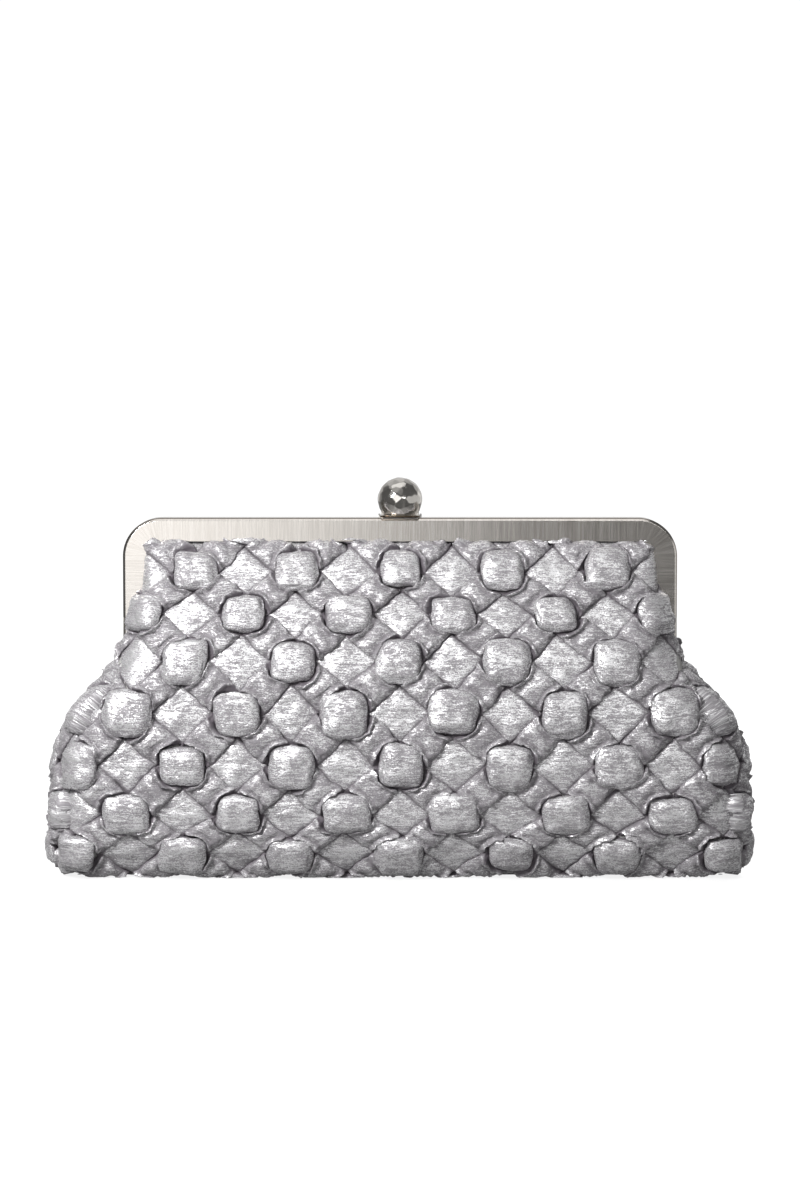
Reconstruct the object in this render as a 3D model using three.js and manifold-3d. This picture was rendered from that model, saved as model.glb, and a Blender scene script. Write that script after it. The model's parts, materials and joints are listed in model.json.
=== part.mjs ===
// A framed evening clutch: two hinged metal frame halves, a ball latch, a soft smocked body and its lining.
// Millimetres, +Z up, the front faces -Y, the origin is the middle of the base on the ground.
import * as THREE from "three";
import { mergeVertices } from "three/addons/utils/BufferGeometryUtils.js";
import Module from "manifold-3d";

const wasm = await Module();
wasm.setup();

// Driving dimensions.
const frameWidth = 203;
const frameTop = 131.4;
const frameCorner = 14;
const faceWidth = 8.5;
const halfDepth = 6;
const halfGap = 0.2; // from the parting plane to each frame half
const rimThickness = 1.2;
const faceThickness = 1;
const backThickness = 0.8;
const backLip = 2.3; // the back plate is this much narrower than the face
const rimBevel = 0.7;
const armEnd = 87;
const hingeHeight = 82;
const clearance = 0.3; // between pieces that touch on the real bag

const lugRadius = 4.5;
const rivetRadius = 1.5;
const rivetHead = { radius: 2.8, rim: 0.5, height: 1.1, flatShare: 0.6 };
const washerRadius = 3.6;
const boreClearance = 0.15; // between a pin or rivet and its bore
const ballRadius = 8.25;
const ballCentre = { y: -1, z: 138.05 };
const tongueBottom = 131.75;
const tongueThickness = 0.7;
const pinY = 8.6;
const pinHeight = 131.2;
const pinRadius = 0.8;
const pinBore = 9; // half the length of the pin's bore through the tongue and the bracket
const pinHead = { radius: 1.3, near: 7.35, far: 8 }; // and its peened end on the other side
const knuckleRadius = 2.1;
const knuckleSpan = [2.6, 4.9]; // the tongue's knuckles, from the middle
const earSpan = [5.2, 7]; // the bracket's ears, outside them

const foldBottom = 72; // the lower panels end here
const foldTop = 96; // the upper panels start here
const panelTop = 122.3;

// Colours and finishes.
const brushedNickel = new THREE.MeshStandardMaterial({ color: 0xb9b4ab, roughness: 0.34, metalness: 1 });
const polishedNickel = new THREE.MeshStandardMaterial({ color: 0xc9c5bd, roughness: 0.08, metalness: 1 });
const springSteel = new THREE.MeshStandardMaterial({ color: 0x9a9a9c, roughness: 0.3, metalness: 1 });
const silverCloth = new THREE.MeshStandardMaterial({ color: 0xa8a3a6, roughness: 0.5, metalness: 0.35 });
const liningSatin = new THREE.MeshStandardMaterial({ color: 0x77747c, roughness: 0.4, metalness: 0 });
const wadding = new THREE.MeshStandardMaterial({ color: 0xe6e3dc, roughness: 0.95, metalness: 0 });
const greyBoard = new THREE.MeshStandardMaterial({ color: 0x8b8680, roughness: 0.9, metalness: 0 });
const twistedPaper = new THREE.MeshStandardMaterial({ color: 0xcdbf9f, roughness: 0.9, metalness: 0 });

const bag = new THREE.Group();

function addPart(name, geometry, material) {
  const mesh = new THREE.Mesh(geometry, material);
  mesh.name = name;
  bag.add(mesh);
}

// A span given for the + side, on the side asked for.
function bothWays(side, [near, far]) {
  return side > 0 ? [near, far] : [-far, -near];
}

// ---- solids and booleans ----

function solid(geometry) {
  const bare = geometry.index ? geometry.toNonIndexed() : geometry.clone();
  bare.deleteAttribute("normal");
  bare.deleteAttribute("uv");
  const merged = mergeVertices(bare, 1e-4);
  return new wasm.Manifold(
    new wasm.Mesh({
      numProp: 3,
      vertProperties: merged.attributes.position.array,
      triVerts: new Uint32Array(merged.index.array),
    }),
  );
}

function geometryOf(manifold) {
  const mesh = manifold.getMesh();
  const geometry = new THREE.BufferGeometry();
  geometry.setAttribute("position", new THREE.BufferAttribute(mesh.vertProperties, 3));
  geometry.setIndex(new THREE.BufferAttribute(mesh.triVerts, 1));
  return geometry;
}

function box(x0, x1, y0, y1, z0, z1) {
  const geometry = new THREE.BoxGeometry(x1 - x0, y1 - y0, z1 - z0);
  geometry.translate((x0 + x1) / 2, (y0 + y1) / 2, (z0 + z1) / 2);
  return solid(geometry);
}

// A cylinder along X, from x0 to x1.
function barX(radius, x0, x1, y, z, sides = 20) {
  const geometry = new THREE.CylinderGeometry(radius, radius, x1 - x0, sides);
  geometry.rotateZ(Math.PI / 2);
  geometry.translate((x0 + x1) / 2, y, z);
  return solid(geometry);
}

// A cylinder along Y, from y0 to y1.
function barY(radius, y0, y1, x, z, sides = 16) {
  const geometry = new THREE.CylinderGeometry(radius, radius, y1 - y0, sides);
  geometry.translate(x, (y0 + y1) / 2, z);
  return solid(geometry);
}

// A turned solid about a vertical axis. Its profile of [radius, height] points starts and ends on the axis.
function turned(profile, sides) {
  const geometry = new THREE.LatheGeometry(profile.map(([r, h]) => new THREE.Vector2(r, h)), sides);
  geometry.rotateX(Math.PI / 2);
  return geometry;
}

// ---- the frame halves ----

// The arch of a frame, seen from the front, between two distances from its outer edge.
function archShape(outer, inner, bottom) {
  const path = (inset, backwards) => {
    const x = frameWidth / 2 - inset;
    const z = frameTop - inset;
    const r = Math.max(frameCorner - inset, 2);
    const arch = new THREE.Path();
    arch.moveTo(x, bottom);
    arch.lineTo(x, z - r);
    arch.absarc(x - r, z - r, r, 0, Math.PI / 2);
    arch.lineTo(-x + r, z);
    arch.absarc(-x + r, z - r, r, Math.PI / 2, Math.PI);
    arch.lineTo(-x, bottom);
    const points = arch.getPoints(10);
    return backwards ? points.reverse() : points;
  };
  return new THREE.Shape([...path(outer, false), ...path(inner, true)]);
}

// A solid with the arch's outline that runs from y0 to y1.
function archSolid(outer, inner, bottom, y0, y1, bevel = 0) {
  const geometry = new THREE.ExtrudeGeometry(archShape(outer, inner, bottom), {
    depth: y1 - y0 - 2 * bevel,
    curveSegments: 10,
    bevelEnabled: bevel > 0,
    bevelThickness: bevel,
    bevelSize: bevel,
    bevelOffset: -bevel,
    bevelSegments: 2,
  });
  geometry.rotateX(Math.PI / 2);
  geometry.translate(0, y1 - bevel, 0);
  return solid(geometry);
}

// A hinge lug in a plane across X: a disc about the hinge axis and the web that joins it to its arm.
function lug(x0, x1, side) {
  const webTop = armEnd + 8;
  const inset = 0.6; // the web is this much narrower than the arm on both sides
  const web = new THREE.Shape();
  web.moveTo(side * (halfGap + inset), hingeHeight);
  web.lineTo(side * (halfGap + inset), webTop);
  web.lineTo(side * (halfDepth + halfGap - inset), webTop);
  web.lineTo(side * (halfDepth + halfGap - inset), hingeHeight + lugRadius);
  web.lineTo(side * lugRadius * 0.98, hingeHeight);
  const plate = new THREE.ExtrudeGeometry(web, { depth: x1 - x0, bevelEnabled: false });
  plate.applyMatrix4(new THREE.Matrix4().makeBasis(
    new THREE.Vector3(0, 1, 0), new THREE.Vector3(0, 0, 1), new THREE.Vector3(1, 0, 0)));
  plate.translate(x0, 0, 0);
  return solid(plate).add(barX(lugRadius, x0, x1, 0, hingeHeight, 24));
}

const outerLug = [frameWidth / 2 - rimThickness, frameWidth / 2];
const innerLug = [frameWidth / 2 - 3.5, frameWidth / 2 - 2.3];

// side is -1 for the front half and 1 for the rear half.
function frameHalf(side, lugPlane) {
  const near = halfGap;
  const far = halfGap + halfDepth;
  const span = (p, q) => bothWays(side, [p, q]);
  let half = archSolid(0, faceWidth, armEnd, ...span(near - 2, far), rimBevel);
  half = half.subtract(box(-frameWidth, frameWidth, ...span(near - 3, near), 0, frameTop + 5));
  const channel = span(near + backThickness, far - faceThickness);
  half = half.subtract(archSolid(rimThickness, faceWidth + 2, armEnd - 2, ...channel));
  const backEdge = span(near - 1, near + backThickness + 0.1);
  half = half.subtract(archSolid(faceWidth - backLip, faceWidth + 2, armEnd - 2, ...backEdge));
  for (const end of [-1, 1]) {
    const [p, q] = bothWays(end, lugPlane);
    half = half.add(lug(p, q, side));
    half = half.subtract(barX(rivetRadius + boreClearance, p - 1, q + 1, 0, hingeHeight, 20));
  }
  return half;
}

// The catch plate lies in a shallow recess in the front half's top, under the tongue.
const catchRecess = { halfLength: 7, near: -1, far: -5.4, depth: 0.6 };
const catchThickness = 0.45;

function frontHalf() {
  const recess = catchRecess;
  const cut = box(-recess.halfLength, recess.halfLength, recess.far, recess.near,
    frameTop - recess.depth, frameTop + 1);
  return frameHalf(-1, outerLug).subtract(cut);
}

function catchPlate() {
  const recess = catchRecess;
  const length = recess.halfLength - clearance;
  return box(-length, length, recess.far + clearance, recess.near - clearance,
    frameTop - recess.depth + clearance, frameTop - recess.depth + clearance + catchThickness);
}

const bracketRivets = { x: 4.6, z: 125.4, shank: 0.9, hole: 1.1, head: 1.7, start: 4.4 };
const rivetTail = { radius: 1.5, near: 4.1, far: 4.8 }; // spread inside the rear half's face

function rearHalf() {
  let half = frameHalf(1, innerLug);
  for (const end of [-1, 1]) {
    half = half.subtract(barY(bracketRivets.hole, 4, 7, end * bracketRivets.x, bracketRivets.z));
  }
  return half;
}

// A pin across X with a domed head at each end, written for the +X side.
function hingeRivet(end) {
  const { radius, rim, height, flatShare } = rivetHead;
  const outside = frameWidth / 2 + clearance;
  const inside = innerLug[0] - clearance;
  const profile = [
    [0, inside - height], [radius * flatShare, inside - height], [radius, inside - rim], [radius, inside],
    [rivetRadius, inside], [rivetRadius, outside],
    [radius, outside], [radius, outside + rim], [radius * flatShare, outside + height], [0, outside + height],
  ];
  const geometry = turned(profile, 20);
  geometry.rotateY(end * Math.PI / 2);
  geometry.translate(0, 0, hingeHeight);
  return geometry;
}

function hingeWasher(end) {
  const [p, q] = bothWays(end, [innerLug[1] + clearance, outerLug[0] - clearance]);
  const ring = barX(washerRadius, p, q, 0, hingeHeight, 24);
  return ring.subtract(barX(rivetRadius + clearance, p - 1, q + 1, 0, hingeHeight, 20));
}

// ---- the ball latch ----

const ballSeat = tongueBottom + tongueThickness + 0.1;
// The stud and its hole, both measured upward from the ball's seat.
const stud = { radius: 1.5, length: 4.2, hole: 1.8, holeDepth: 4.6 };

function latchTongue() {
  const width = 7.2;
  const front = -7.5;
  const back = 6.2;
  const round = 3.4;
  const strapStart = 5; // the straps to the knuckles start here, under the plate's back edge
  const outline = new THREE.Shape();
  outline.moveTo(-width, back);
  outline.lineTo(-width, front + round);
  outline.quadraticCurveTo(-width, front, -width + round, front);
  outline.lineTo(width - round, front);
  outline.quadraticCurveTo(width, front, width, front + round);
  outline.lineTo(width, back);
  const depth = tongueThickness;
  const geometry = new THREE.ExtrudeGeometry(outline, { depth, bevelEnabled: false, curveSegments: 6 });
  geometry.translate(0, 0, tongueBottom);
  let tongue = solid(geometry);
  for (const end of [-1, 1]) {
    const [p, q] = bothWays(end, knuckleSpan);
    tongue = tongue.add(barX(knuckleRadius, p, q, pinY, pinHeight));
    tongue = tongue.add(box(p, q, strapStart, pinY, tongueBottom, tongueBottom + tongueThickness));
  }
  tongue = tongue.subtract(barX(pinRadius + boreClearance, -pinBore, pinBore, pinY, pinHeight, 16));
  const studHole = new THREE.CylinderGeometry(stud.hole, stud.hole, 6, 20);
  studHole.rotateX(Math.PI / 2);
  studHole.translate(0, ballCentre.y, tongueBottom);
  return tongue.subtract(solid(studHole));
}


// A sphere cut flat where it sits on the tongue, with a blind hole for its stud.
function claspBall() {
  const drop = ballCentre.z - ballSeat;
  const start = Math.acos(drop / ballRadius);
  const steps = 14;
  const holeTop = ballSeat + stud.holeDepth;
  const profile = [[0, holeTop], [stud.hole, holeTop], [stud.hole, ballSeat]];
  for (let i = 0; i <= steps; i++) {
    const angle = start + ((Math.PI - start) * i) / steps;
    const radius = i === steps ? 0 : ballRadius * Math.sin(angle);
    profile.push([radius, ballCentre.z - ballRadius * Math.cos(angle)]);
  }
  return turned(profile, 28).translate(0, ballCentre.y, 0);
}

function ballStud() {
  const { radius } = stud;
  const studTop = ballSeat + stud.length;
  const profile = [[0, tongueBottom], [radius, tongueBottom], [radius, studTop], [0, studTop]];
  return turned(profile, 16).translate(0, ballCentre.y, 0);
}

const bracketPlate = { halfLength: 7, thickness: 0.8, bottom: 122.6, top: 128.6 };
const bracketEar = { bottom: 128, beyondPin: 1.2 };

function latchBracket() {
  const { halfLength, thickness, bottom, top } = bracketPlate;
  const face = halfGap + halfDepth + clearance;
  let bracket = box(-halfLength, halfLength, face, face + thickness, bottom, top);
  for (const end of [-1, 1]) {
    const [p, q] = bothWays(end, earSpan);
    bracket = bracket.add(barX(knuckleRadius, p, q, pinY, pinHeight));
    bracket = bracket.add(box(p, q, face, pinY + bracketEar.beyondPin, bracketEar.bottom, pinHeight));
    const hole = barY(bracketRivets.hole, face - 1, face + 2, end * bracketRivets.x, bracketRivets.z);
    bracket = bracket.subtract(hole);
  }
  return bracket.subtract(barX(pinRadius + boreClearance, -pinBore, pinBore, pinY, pinHeight, 16));
}

function latchPin() {
  const stemHalf = 7.6;
  const { radius, near, far } = pinHead;
  const stem = barX(pinRadius, -stemHalf, stemHalf, pinY, pinHeight, 16);
  const head = barX(radius, near, far, pinY, pinHeight, 16);
  const peen = barX(radius, -far, -near, pinY, pinHeight, 16);
  return stem.add(head).add(peen);
}

function bracketRivet(end) {
  const { x, z, shank, head, start } = bracketRivets;
  const face = halfGap + halfDepth + clearance + bracketPlate.thickness;
  return barY(shank, start, face + 1, end * x, z)
    .add(barY(head, face + clearance, face + 1, end * x, z))
    .add(barY(rivetTail.radius, rivetTail.near, rivetTail.far, end * x, z));
}

// A torsion spring about the latch pin: one leg lies over the tongue and the other against the bracket.
class SpringCurve extends THREE.Curve {
  getPoint(t) {
    const coil = 1.75;
    const turns = 3.25;
    const length = 3.6;
    const topLeg = { share: 0.1, reach: 2.9 };
    const backLeg = { share: 0.12, y: 8, z: 126.8 };
    if (t < topLeg.share) {
      return new THREE.Vector3(-length / 2, pinY - topLeg.reach * (1 - t / topLeg.share), pinHeight + coil);
    }
    if (t > 1 - backLeg.share) {
      const along = (t - 1 + backLeg.share) / backLeg.share;
      const y = THREE.MathUtils.lerp(pinY + coil, backLeg.y, along);
      return new THREE.Vector3(length / 2, y, THREE.MathUtils.lerp(pinHeight, backLeg.z, along));
    }
    const along = (t - topLeg.share) / (1 - topLeg.share - backLeg.share);
    const angle = Math.PI / 2 - along * turns * 2 * Math.PI;
    const x = length * (along - 0.5);
    return new THREE.Vector3(x, pinY + coil * Math.cos(angle), pinHeight + coil * Math.sin(angle));
  }
}

function latchSpring() {
  const wireRadius = 0.28;
  const wire = new THREE.Shape();
  wire.absarc(0, 0, wireRadius, 0, 2 * Math.PI);
  return new THREE.ExtrudeGeometry(wire, { steps: 60, curveSegments: 3, extrudePath: new SpringCurve() });
}

// ---- the soft body ----

// Half width and half depth of the outer shape at each height, the radius of its upright corners,
// and how far its side edges stand from the parting plane.
const stations = [
  { z: 0, width: 126.5, depth: 15, corner: 9, edge: 0 },
  { z: 5, width: 129, depth: 21.5, corner: 13, edge: 0 },
  { z: 13, width: 129.5, depth: 26.6, corner: 17, edge: 0 },
  { z: 26, width: 129.5, depth: 29.6, corner: 20, edge: 0 },
  { z: 42, width: 127, depth: 30.4, corner: 20, edge: 0 },
  { z: 55, width: 123.5, depth: 30.4, corner: 20, edge: 0 },
  { z: 63, width: 116.5, depth: 30, corner: 20, edge: 0 },
  { z: 72, width: 109, depth: 29.2, corner: 20, edge: 4 },
  { z: 80, width: 104.5, depth: 27.8, corner: 18, edge: 7.4 },
  { z: 88, width: 100, depth: 25.6, corner: 15, edge: 7.4 },
  { z: 96, width: 96, depth: 22.8, corner: 12, edge: 7.4 },
  { z: 106, width: 93.5, depth: 18.2, corner: 9, edge: 7.4 },
  { z: 114, width: 92.6, depth: 13.8, corner: 5, edge: 7.4 },
  { z: panelTop, width: 91, depth: 8.6, corner: 1, edge: 7.4 },
];
const crown = 0.07; // the front and back stand this much prouder in the middle
const wallAtBase = 8.6;
const wallAtTop = 4.4;
const wallTaperStart = 84;

function station(z) {
  let i = 0;
  while (i < stations.length - 2 && z > stations[i + 1].z) i++;
  const [p, q] = [stations[i], stations[i + 1]];
  const t = THREE.MathUtils.clamp((z - p.z) / (q.z - p.z), 0, 1);
  const mix = (key) => p[key] + (q[key] - p[key]) * t;
  return { width: mix("width"), depth: mix("depth"), corner: mix("corner"), edge: mix("edge") };
}

function wallThickness(z) {
  const rise = THREE.MathUtils.clamp((z - wallTaperStart) / (panelTop - wallTaperStart), 0, 1);
  return wallAtBase + (wallAtTop - wallAtBase) * rise;
}

// Half of the level outline at height z, from the middle of the +X side (u = 0) across the face (u = 0.5)
// to the middle of the -X side. inward is how far inside the outer surface it lies, as a share of the wall.
function outlinePoint(u, z, inward) {
  const s = station(z);
  const wall = wallThickness(z) * inward;
  const width = s.width - wall;
  const depth = s.depth - wall;
  const edge = s.edge;
  const corner = Math.max(Math.min(s.corner - wall * 0.6, depth - edge), 0.3);
  const k = Math.abs(u - 0.5) * 2; // 0 in the middle of the face, 1 at the seam
  const faceShare = 0.7; // the flat of the face ends here and the corner starts
  const arcShare = 0.92; // the corner ends here
  let x = width;
  let y = edge;
  if (k <= faceShare) {
    x = (width - corner) * (k / faceShare);
    y = depth;
  } else if (k <= arcShare) {
    const angle = ((k - faceShare) / (arcShare - faceShare)) * (Math.PI / 2);
    x = width - corner + corner * Math.sin(angle);
    y = depth - corner + corner * Math.cos(angle);
  } else {
    y = depth - corner - (depth - corner - edge) * ((k - arcShare) / (1 - arcShare));
  }
  y *= 1 - crown * (x / s.width) ** 2;
  return [u < 0.5 ? x : -x, y];
}

// A closed block between an outer and an inner grid of points, both rows by columns.
function block(outer, inner) {
  const rows = outer.length;
  const columns = outer[0].length;
  const points = [...outer.flat(), ...inner.flat()].flatMap((p) => [p.x, p.y, p.z]);
  const at = (layer, i, j) => layer * rows * columns + i * columns + j;
  const faces = [];
  const quad = (a, b, c, d) => faces.push(a, b, c, a, c, d);
  for (let i = 0; i < rows - 1; i++) {
    for (let j = 0; j < columns - 1; j++) {
      quad(at(0, i, j), at(0, i, j + 1), at(0, i + 1, j + 1), at(0, i + 1, j));
      quad(at(1, i, j), at(1, i + 1, j), at(1, i + 1, j + 1), at(1, i, j + 1));
    }
    quad(at(0, i, 0), at(0, i + 1, 0), at(1, i + 1, 0), at(1, i, 0));
    const last = columns - 1;
    quad(at(0, i, last), at(1, i, last), at(1, i + 1, last), at(0, i + 1, last));
  }
  for (let j = 0; j < columns - 1; j++) {
    const top = rows - 1;
    quad(at(0, 0, j), at(1, 0, j), at(1, 0, j + 1), at(0, 0, j + 1));
    quad(at(0, top, j), at(0, top, j + 1), at(1, top, j + 1), at(1, top, j));
  }
  const geometry = new THREE.BufferGeometry();
  geometry.setAttribute("position", new THREE.Float32BufferAttribute(points, 3));
  geometry.setIndex(faces);
  return geometry;
}

function spread(from, to, count) {
  return Array.from({ length: count + 1 }, (_, i) => from + ((to - from) * i) / count);
}

// The face panels stop half way round each corner up to the gusset's top, and reach the frame's arms above it.
function seamShare(z) {
  const [halfWay, wholeWay] = [0.095, 0];
  const rise = THREE.MathUtils.clamp((z - foldBottom) / (armEnd - 1 - foldBottom), 0, 1);
  return halfWay + (wholeWay - halfWay) * rise;
}

// A layer of the front (side -1) or back (side 1), through the given heights.
function panel(side, heights, layer) {
  const [outerShare, innerShare] = layer;
  const faceStart = 0.15;
  const across = (z) => [
    ...spread(seamShare(z), faceStart, 4),
    ...spread(faceStart, 1 - faceStart, 8).slice(1),
    ...spread(1 - faceStart, 1 - seamShare(z), 4).slice(1),
  ];
  const grid = (inward) => heights.map((z) => across(z).map((u) => {
    const [x, y] = outlinePoint(u, z, inward);
    return new THREE.Vector3(x, side * y, z);
  }));
  const order = side < 0 ? [grid(innerShare), grid(outerShare)] : [grid(outerShare), grid(innerShare)];
  return block(...order);
}

// A layer of the side between the two face panels. end is 1 for +X and -1 for -X.
function gusset(end, heights, layer) {
  const [outerShare, innerShare] = layer;
  const turn = spread(-1, 1, 10);
  const reach = seamShare(0) - 0.0035; // leaves the clearance to the face panels
  const grid = (inward) => heights.map((z) => turn.map((t) => {
    const [x, y] = outlinePoint(Math.abs(t) * reach, z, inward);
    return new THREE.Vector3(end * x, Math.sign(t) * y, z);
  }));
  const order = end > 0 ? [grid(outerShare), grid(innerShare)] : [grid(innerShare), grid(outerShare)];
  return block(...order);
}

const shellLayer = [0, 0.58];
const paddingLayer = [0.62, 0.84];
const liningLayer = [0.88, 1];

// A flat board with rounded ends, lying across the base.
function baseSheet(halfLength, halfWidth, corner, z0, z1) {
  const outline = new THREE.Shape();
  outline.absarc(halfLength - corner, halfWidth - corner, corner, 0, Math.PI / 2);
  outline.absarc(-halfLength + corner, halfWidth - corner, corner, Math.PI / 2, Math.PI);
  outline.absarc(-halfLength + corner, -halfWidth + corner, corner, Math.PI, 1.5 * Math.PI);
  outline.absarc(halfLength - corner, -halfWidth + corner, corner, 1.5 * Math.PI, 2 * Math.PI);
  const depth = z1 - z0;
  const geometry = new THREE.ExtrudeGeometry(outline, { depth, bevelEnabled: false, curveSegments: 6 });
  geometry.translate(0, 0, z0);
  return geometry;
}

// It lies along the back lining, from one share of the outline to another, between two distances inside it.
const pocket = { bottom: 24, top: 66, from: 0.3, to: 0.7, near: 0.5, far: 1.3, narrowing: 0.98 };

function slipPocket() {
  const across = spread(pocket.from, pocket.to, 6);
  const grid = (offset) => spread(pocket.bottom, pocket.top, 3).map((z) => across.map((u) => {
    const [x, y] = outlinePoint(u, z, 1);
    return new THREE.Vector3(x * pocket.narrowing, y - offset, z);
  }));
  return block(grid(pocket.near), grid(pocket.far));
}

// ---- assembly ----

addPart("front_frame_half", geometryOf(frontHalf()), brushedNickel);
addPart("rear_frame_half", geometryOf(rearHalf()), brushedNickel);
for (const [name, end] of [["left", -1], ["right", 1]]) {
  addPart(`hinge_rivet_${name}`, hingeRivet(end), polishedNickel);
  addPart(`hinge_washer_${name}`, geometryOf(hingeWasher(end)), springSteel);
  addPart(`bracket_rivet_${name}`, geometryOf(bracketRivet(end)), polishedNickel);
}
addPart("catch_plate", geometryOf(catchPlate()), springSteel);
addPart("latch_bracket", geometryOf(latchBracket()), brushedNickel);
addPart("latch_pin", geometryOf(latchPin()), springSteel);
addPart("latch_tongue", geometryOf(latchTongue()), brushedNickel);
addPart("latch_spring", latchSpring(), springSteel);
addPart("clasp_ball", claspBall(), polishedNickel);
addPart("ball_stud", ballStud(), springSteel);

const cordEnd = 97;
const cordWidth = 2.2;
const cordInset = [rimThickness + clearance, rimThickness + clearance + cordWidth];
const cordBevel = 0.6;
for (const [name, span] of [["front", [-4.3, -1.9]], ["rear", [1.4, 3.8]]]) {
  const cord = archSolid(...cordInset, cordEnd, ...span, cordBevel);
  addPart(`${name}_channel_cord`, geometryOf(cord), twistedPaper);
}

const split = clearance / 2;
const lowerHeights = [8, 16, 28, 42, 56, foldBottom - split];
const foldHeights = spread(foldBottom + split, foldTop - split, 3);
const upperHeights = spread(foldTop + split, panelTop, 3);
for (const [face, side] of [["front", -1], ["back", 1]]) {
  addPart(`${face}_panel_lower`, panel(side, [0, ...lowerHeights], shellLayer), silverCloth);
  addPart(`${face}_padding`, panel(side, lowerHeights, paddingLayer), wadding);
  addPart(`${face}_lining_lower`, panel(side, lowerHeights, liningLayer), liningSatin);
  for (const [place, heights] of [["fold", foldHeights], ["upper", upperHeights]]) {
    addPart(`${face}_panel_${place}`, panel(side, heights, shellLayer), silverCloth);
    addPart(`${face}_lining_${place}`, panel(side, heights, liningLayer), liningSatin);
  }
}
for (const [name, end] of [["left", -1], ["right", 1]]) {
  addPart(`${name}_gusset`, gusset(end, [0, ...lowerHeights], shellLayer), silverCloth);
  addPart(`${name}_gusset_lining`, gusset(end, lowerHeights, liningLayer), liningSatin);
}

const innerWall = wallAtBase * shellLayer[1] + clearance;
const base = station(0);
const baseHalfWidth = (base.depth - innerWall) * (1 - crown);
const board = { halfLength: 120, halfWidth: 11.5, corner: 6 };
const liningInset = 2; // the base lining is this much shorter than the board at each end
const levels = { panel: [0, 2.6], board: [2.9, 4.9], lining: [5.2, 6] }; // bottoms and tops, from the ground up
const basePanel = baseSheet(base.width - innerWall, baseHalfWidth, 7, ...levels.panel);
addPart("base_panel", basePanel, silverCloth);
addPart("base_board", baseSheet(board.halfLength, board.halfWidth, board.corner, ...levels.board), greyBoard);
const baseLining = baseSheet(board.halfLength - liningInset, board.halfWidth, board.corner, ...levels.lining);
addPart("base_lining", baseLining, liningSatin);
addPart("slip_pocket", slipPocket(), liningSatin);

export default bag;
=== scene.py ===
import json
import math
import bpy
import bmesh
import numpy as np
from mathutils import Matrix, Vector, noise


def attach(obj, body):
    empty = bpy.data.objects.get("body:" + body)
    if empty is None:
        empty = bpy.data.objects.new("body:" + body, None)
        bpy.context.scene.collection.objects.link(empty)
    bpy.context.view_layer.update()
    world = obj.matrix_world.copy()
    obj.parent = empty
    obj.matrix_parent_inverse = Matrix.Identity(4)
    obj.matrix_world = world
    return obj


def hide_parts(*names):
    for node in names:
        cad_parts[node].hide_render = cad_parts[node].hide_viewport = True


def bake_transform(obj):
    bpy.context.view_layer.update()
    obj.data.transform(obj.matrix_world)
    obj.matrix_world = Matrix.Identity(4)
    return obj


# A framed evening clutch in smocked metallic cloth. Metres, +Z up, the front faces -Y.
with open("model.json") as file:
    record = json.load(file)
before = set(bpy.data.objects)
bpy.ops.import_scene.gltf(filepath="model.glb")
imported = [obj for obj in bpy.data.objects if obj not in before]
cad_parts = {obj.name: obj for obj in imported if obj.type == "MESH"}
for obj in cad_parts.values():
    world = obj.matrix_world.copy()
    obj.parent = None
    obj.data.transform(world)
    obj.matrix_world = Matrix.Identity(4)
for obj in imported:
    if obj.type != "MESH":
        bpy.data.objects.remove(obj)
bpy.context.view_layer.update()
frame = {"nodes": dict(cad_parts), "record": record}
mm = 0.001
print("frame loaded:", len(frame["nodes"]), "nodes")


def addObject(name, data):
    made = bpy.data.objects.new(name, data)
    bpy.context.scene.collection.objects.link(made)
    return made


def gridFaces(rows, columns, wrap=False):  # the four-sided faces between rows of points
    faces = []
    for r in range(rows - 1):
        for c in range(columns if wrap else columns - 1):
            k = (c + 1) % columns
            faces.append((r * columns + c, r * columns + k, (r + 1) * columns + k, (r + 1) * columns + c))
    return faces


# node trees

class Wire:  # a socket that can be used in an expression
    def __init__(self, sheet, socket):
        self.sheet = sheet
        self.socket = socket

    def __add__(self, other):
        return self.sheet.math("ADD", self, other)

    def __sub__(self, other):
        return self.sheet.math("SUBTRACT", self, other)

    def __rsub__(self, other):
        return self.sheet.math("SUBTRACT", other, self)

    def __mul__(self, other):
        return self.sheet.math("MULTIPLY", self, other)

    def __truediv__(self, other):
        return self.sheet.math("DIVIDE", self, other)

    def __pow__(self, other):
        return self.sheet.math("POWER", self, other)

    __radd__ = __add__
    __rmul__ = __mul__


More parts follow.
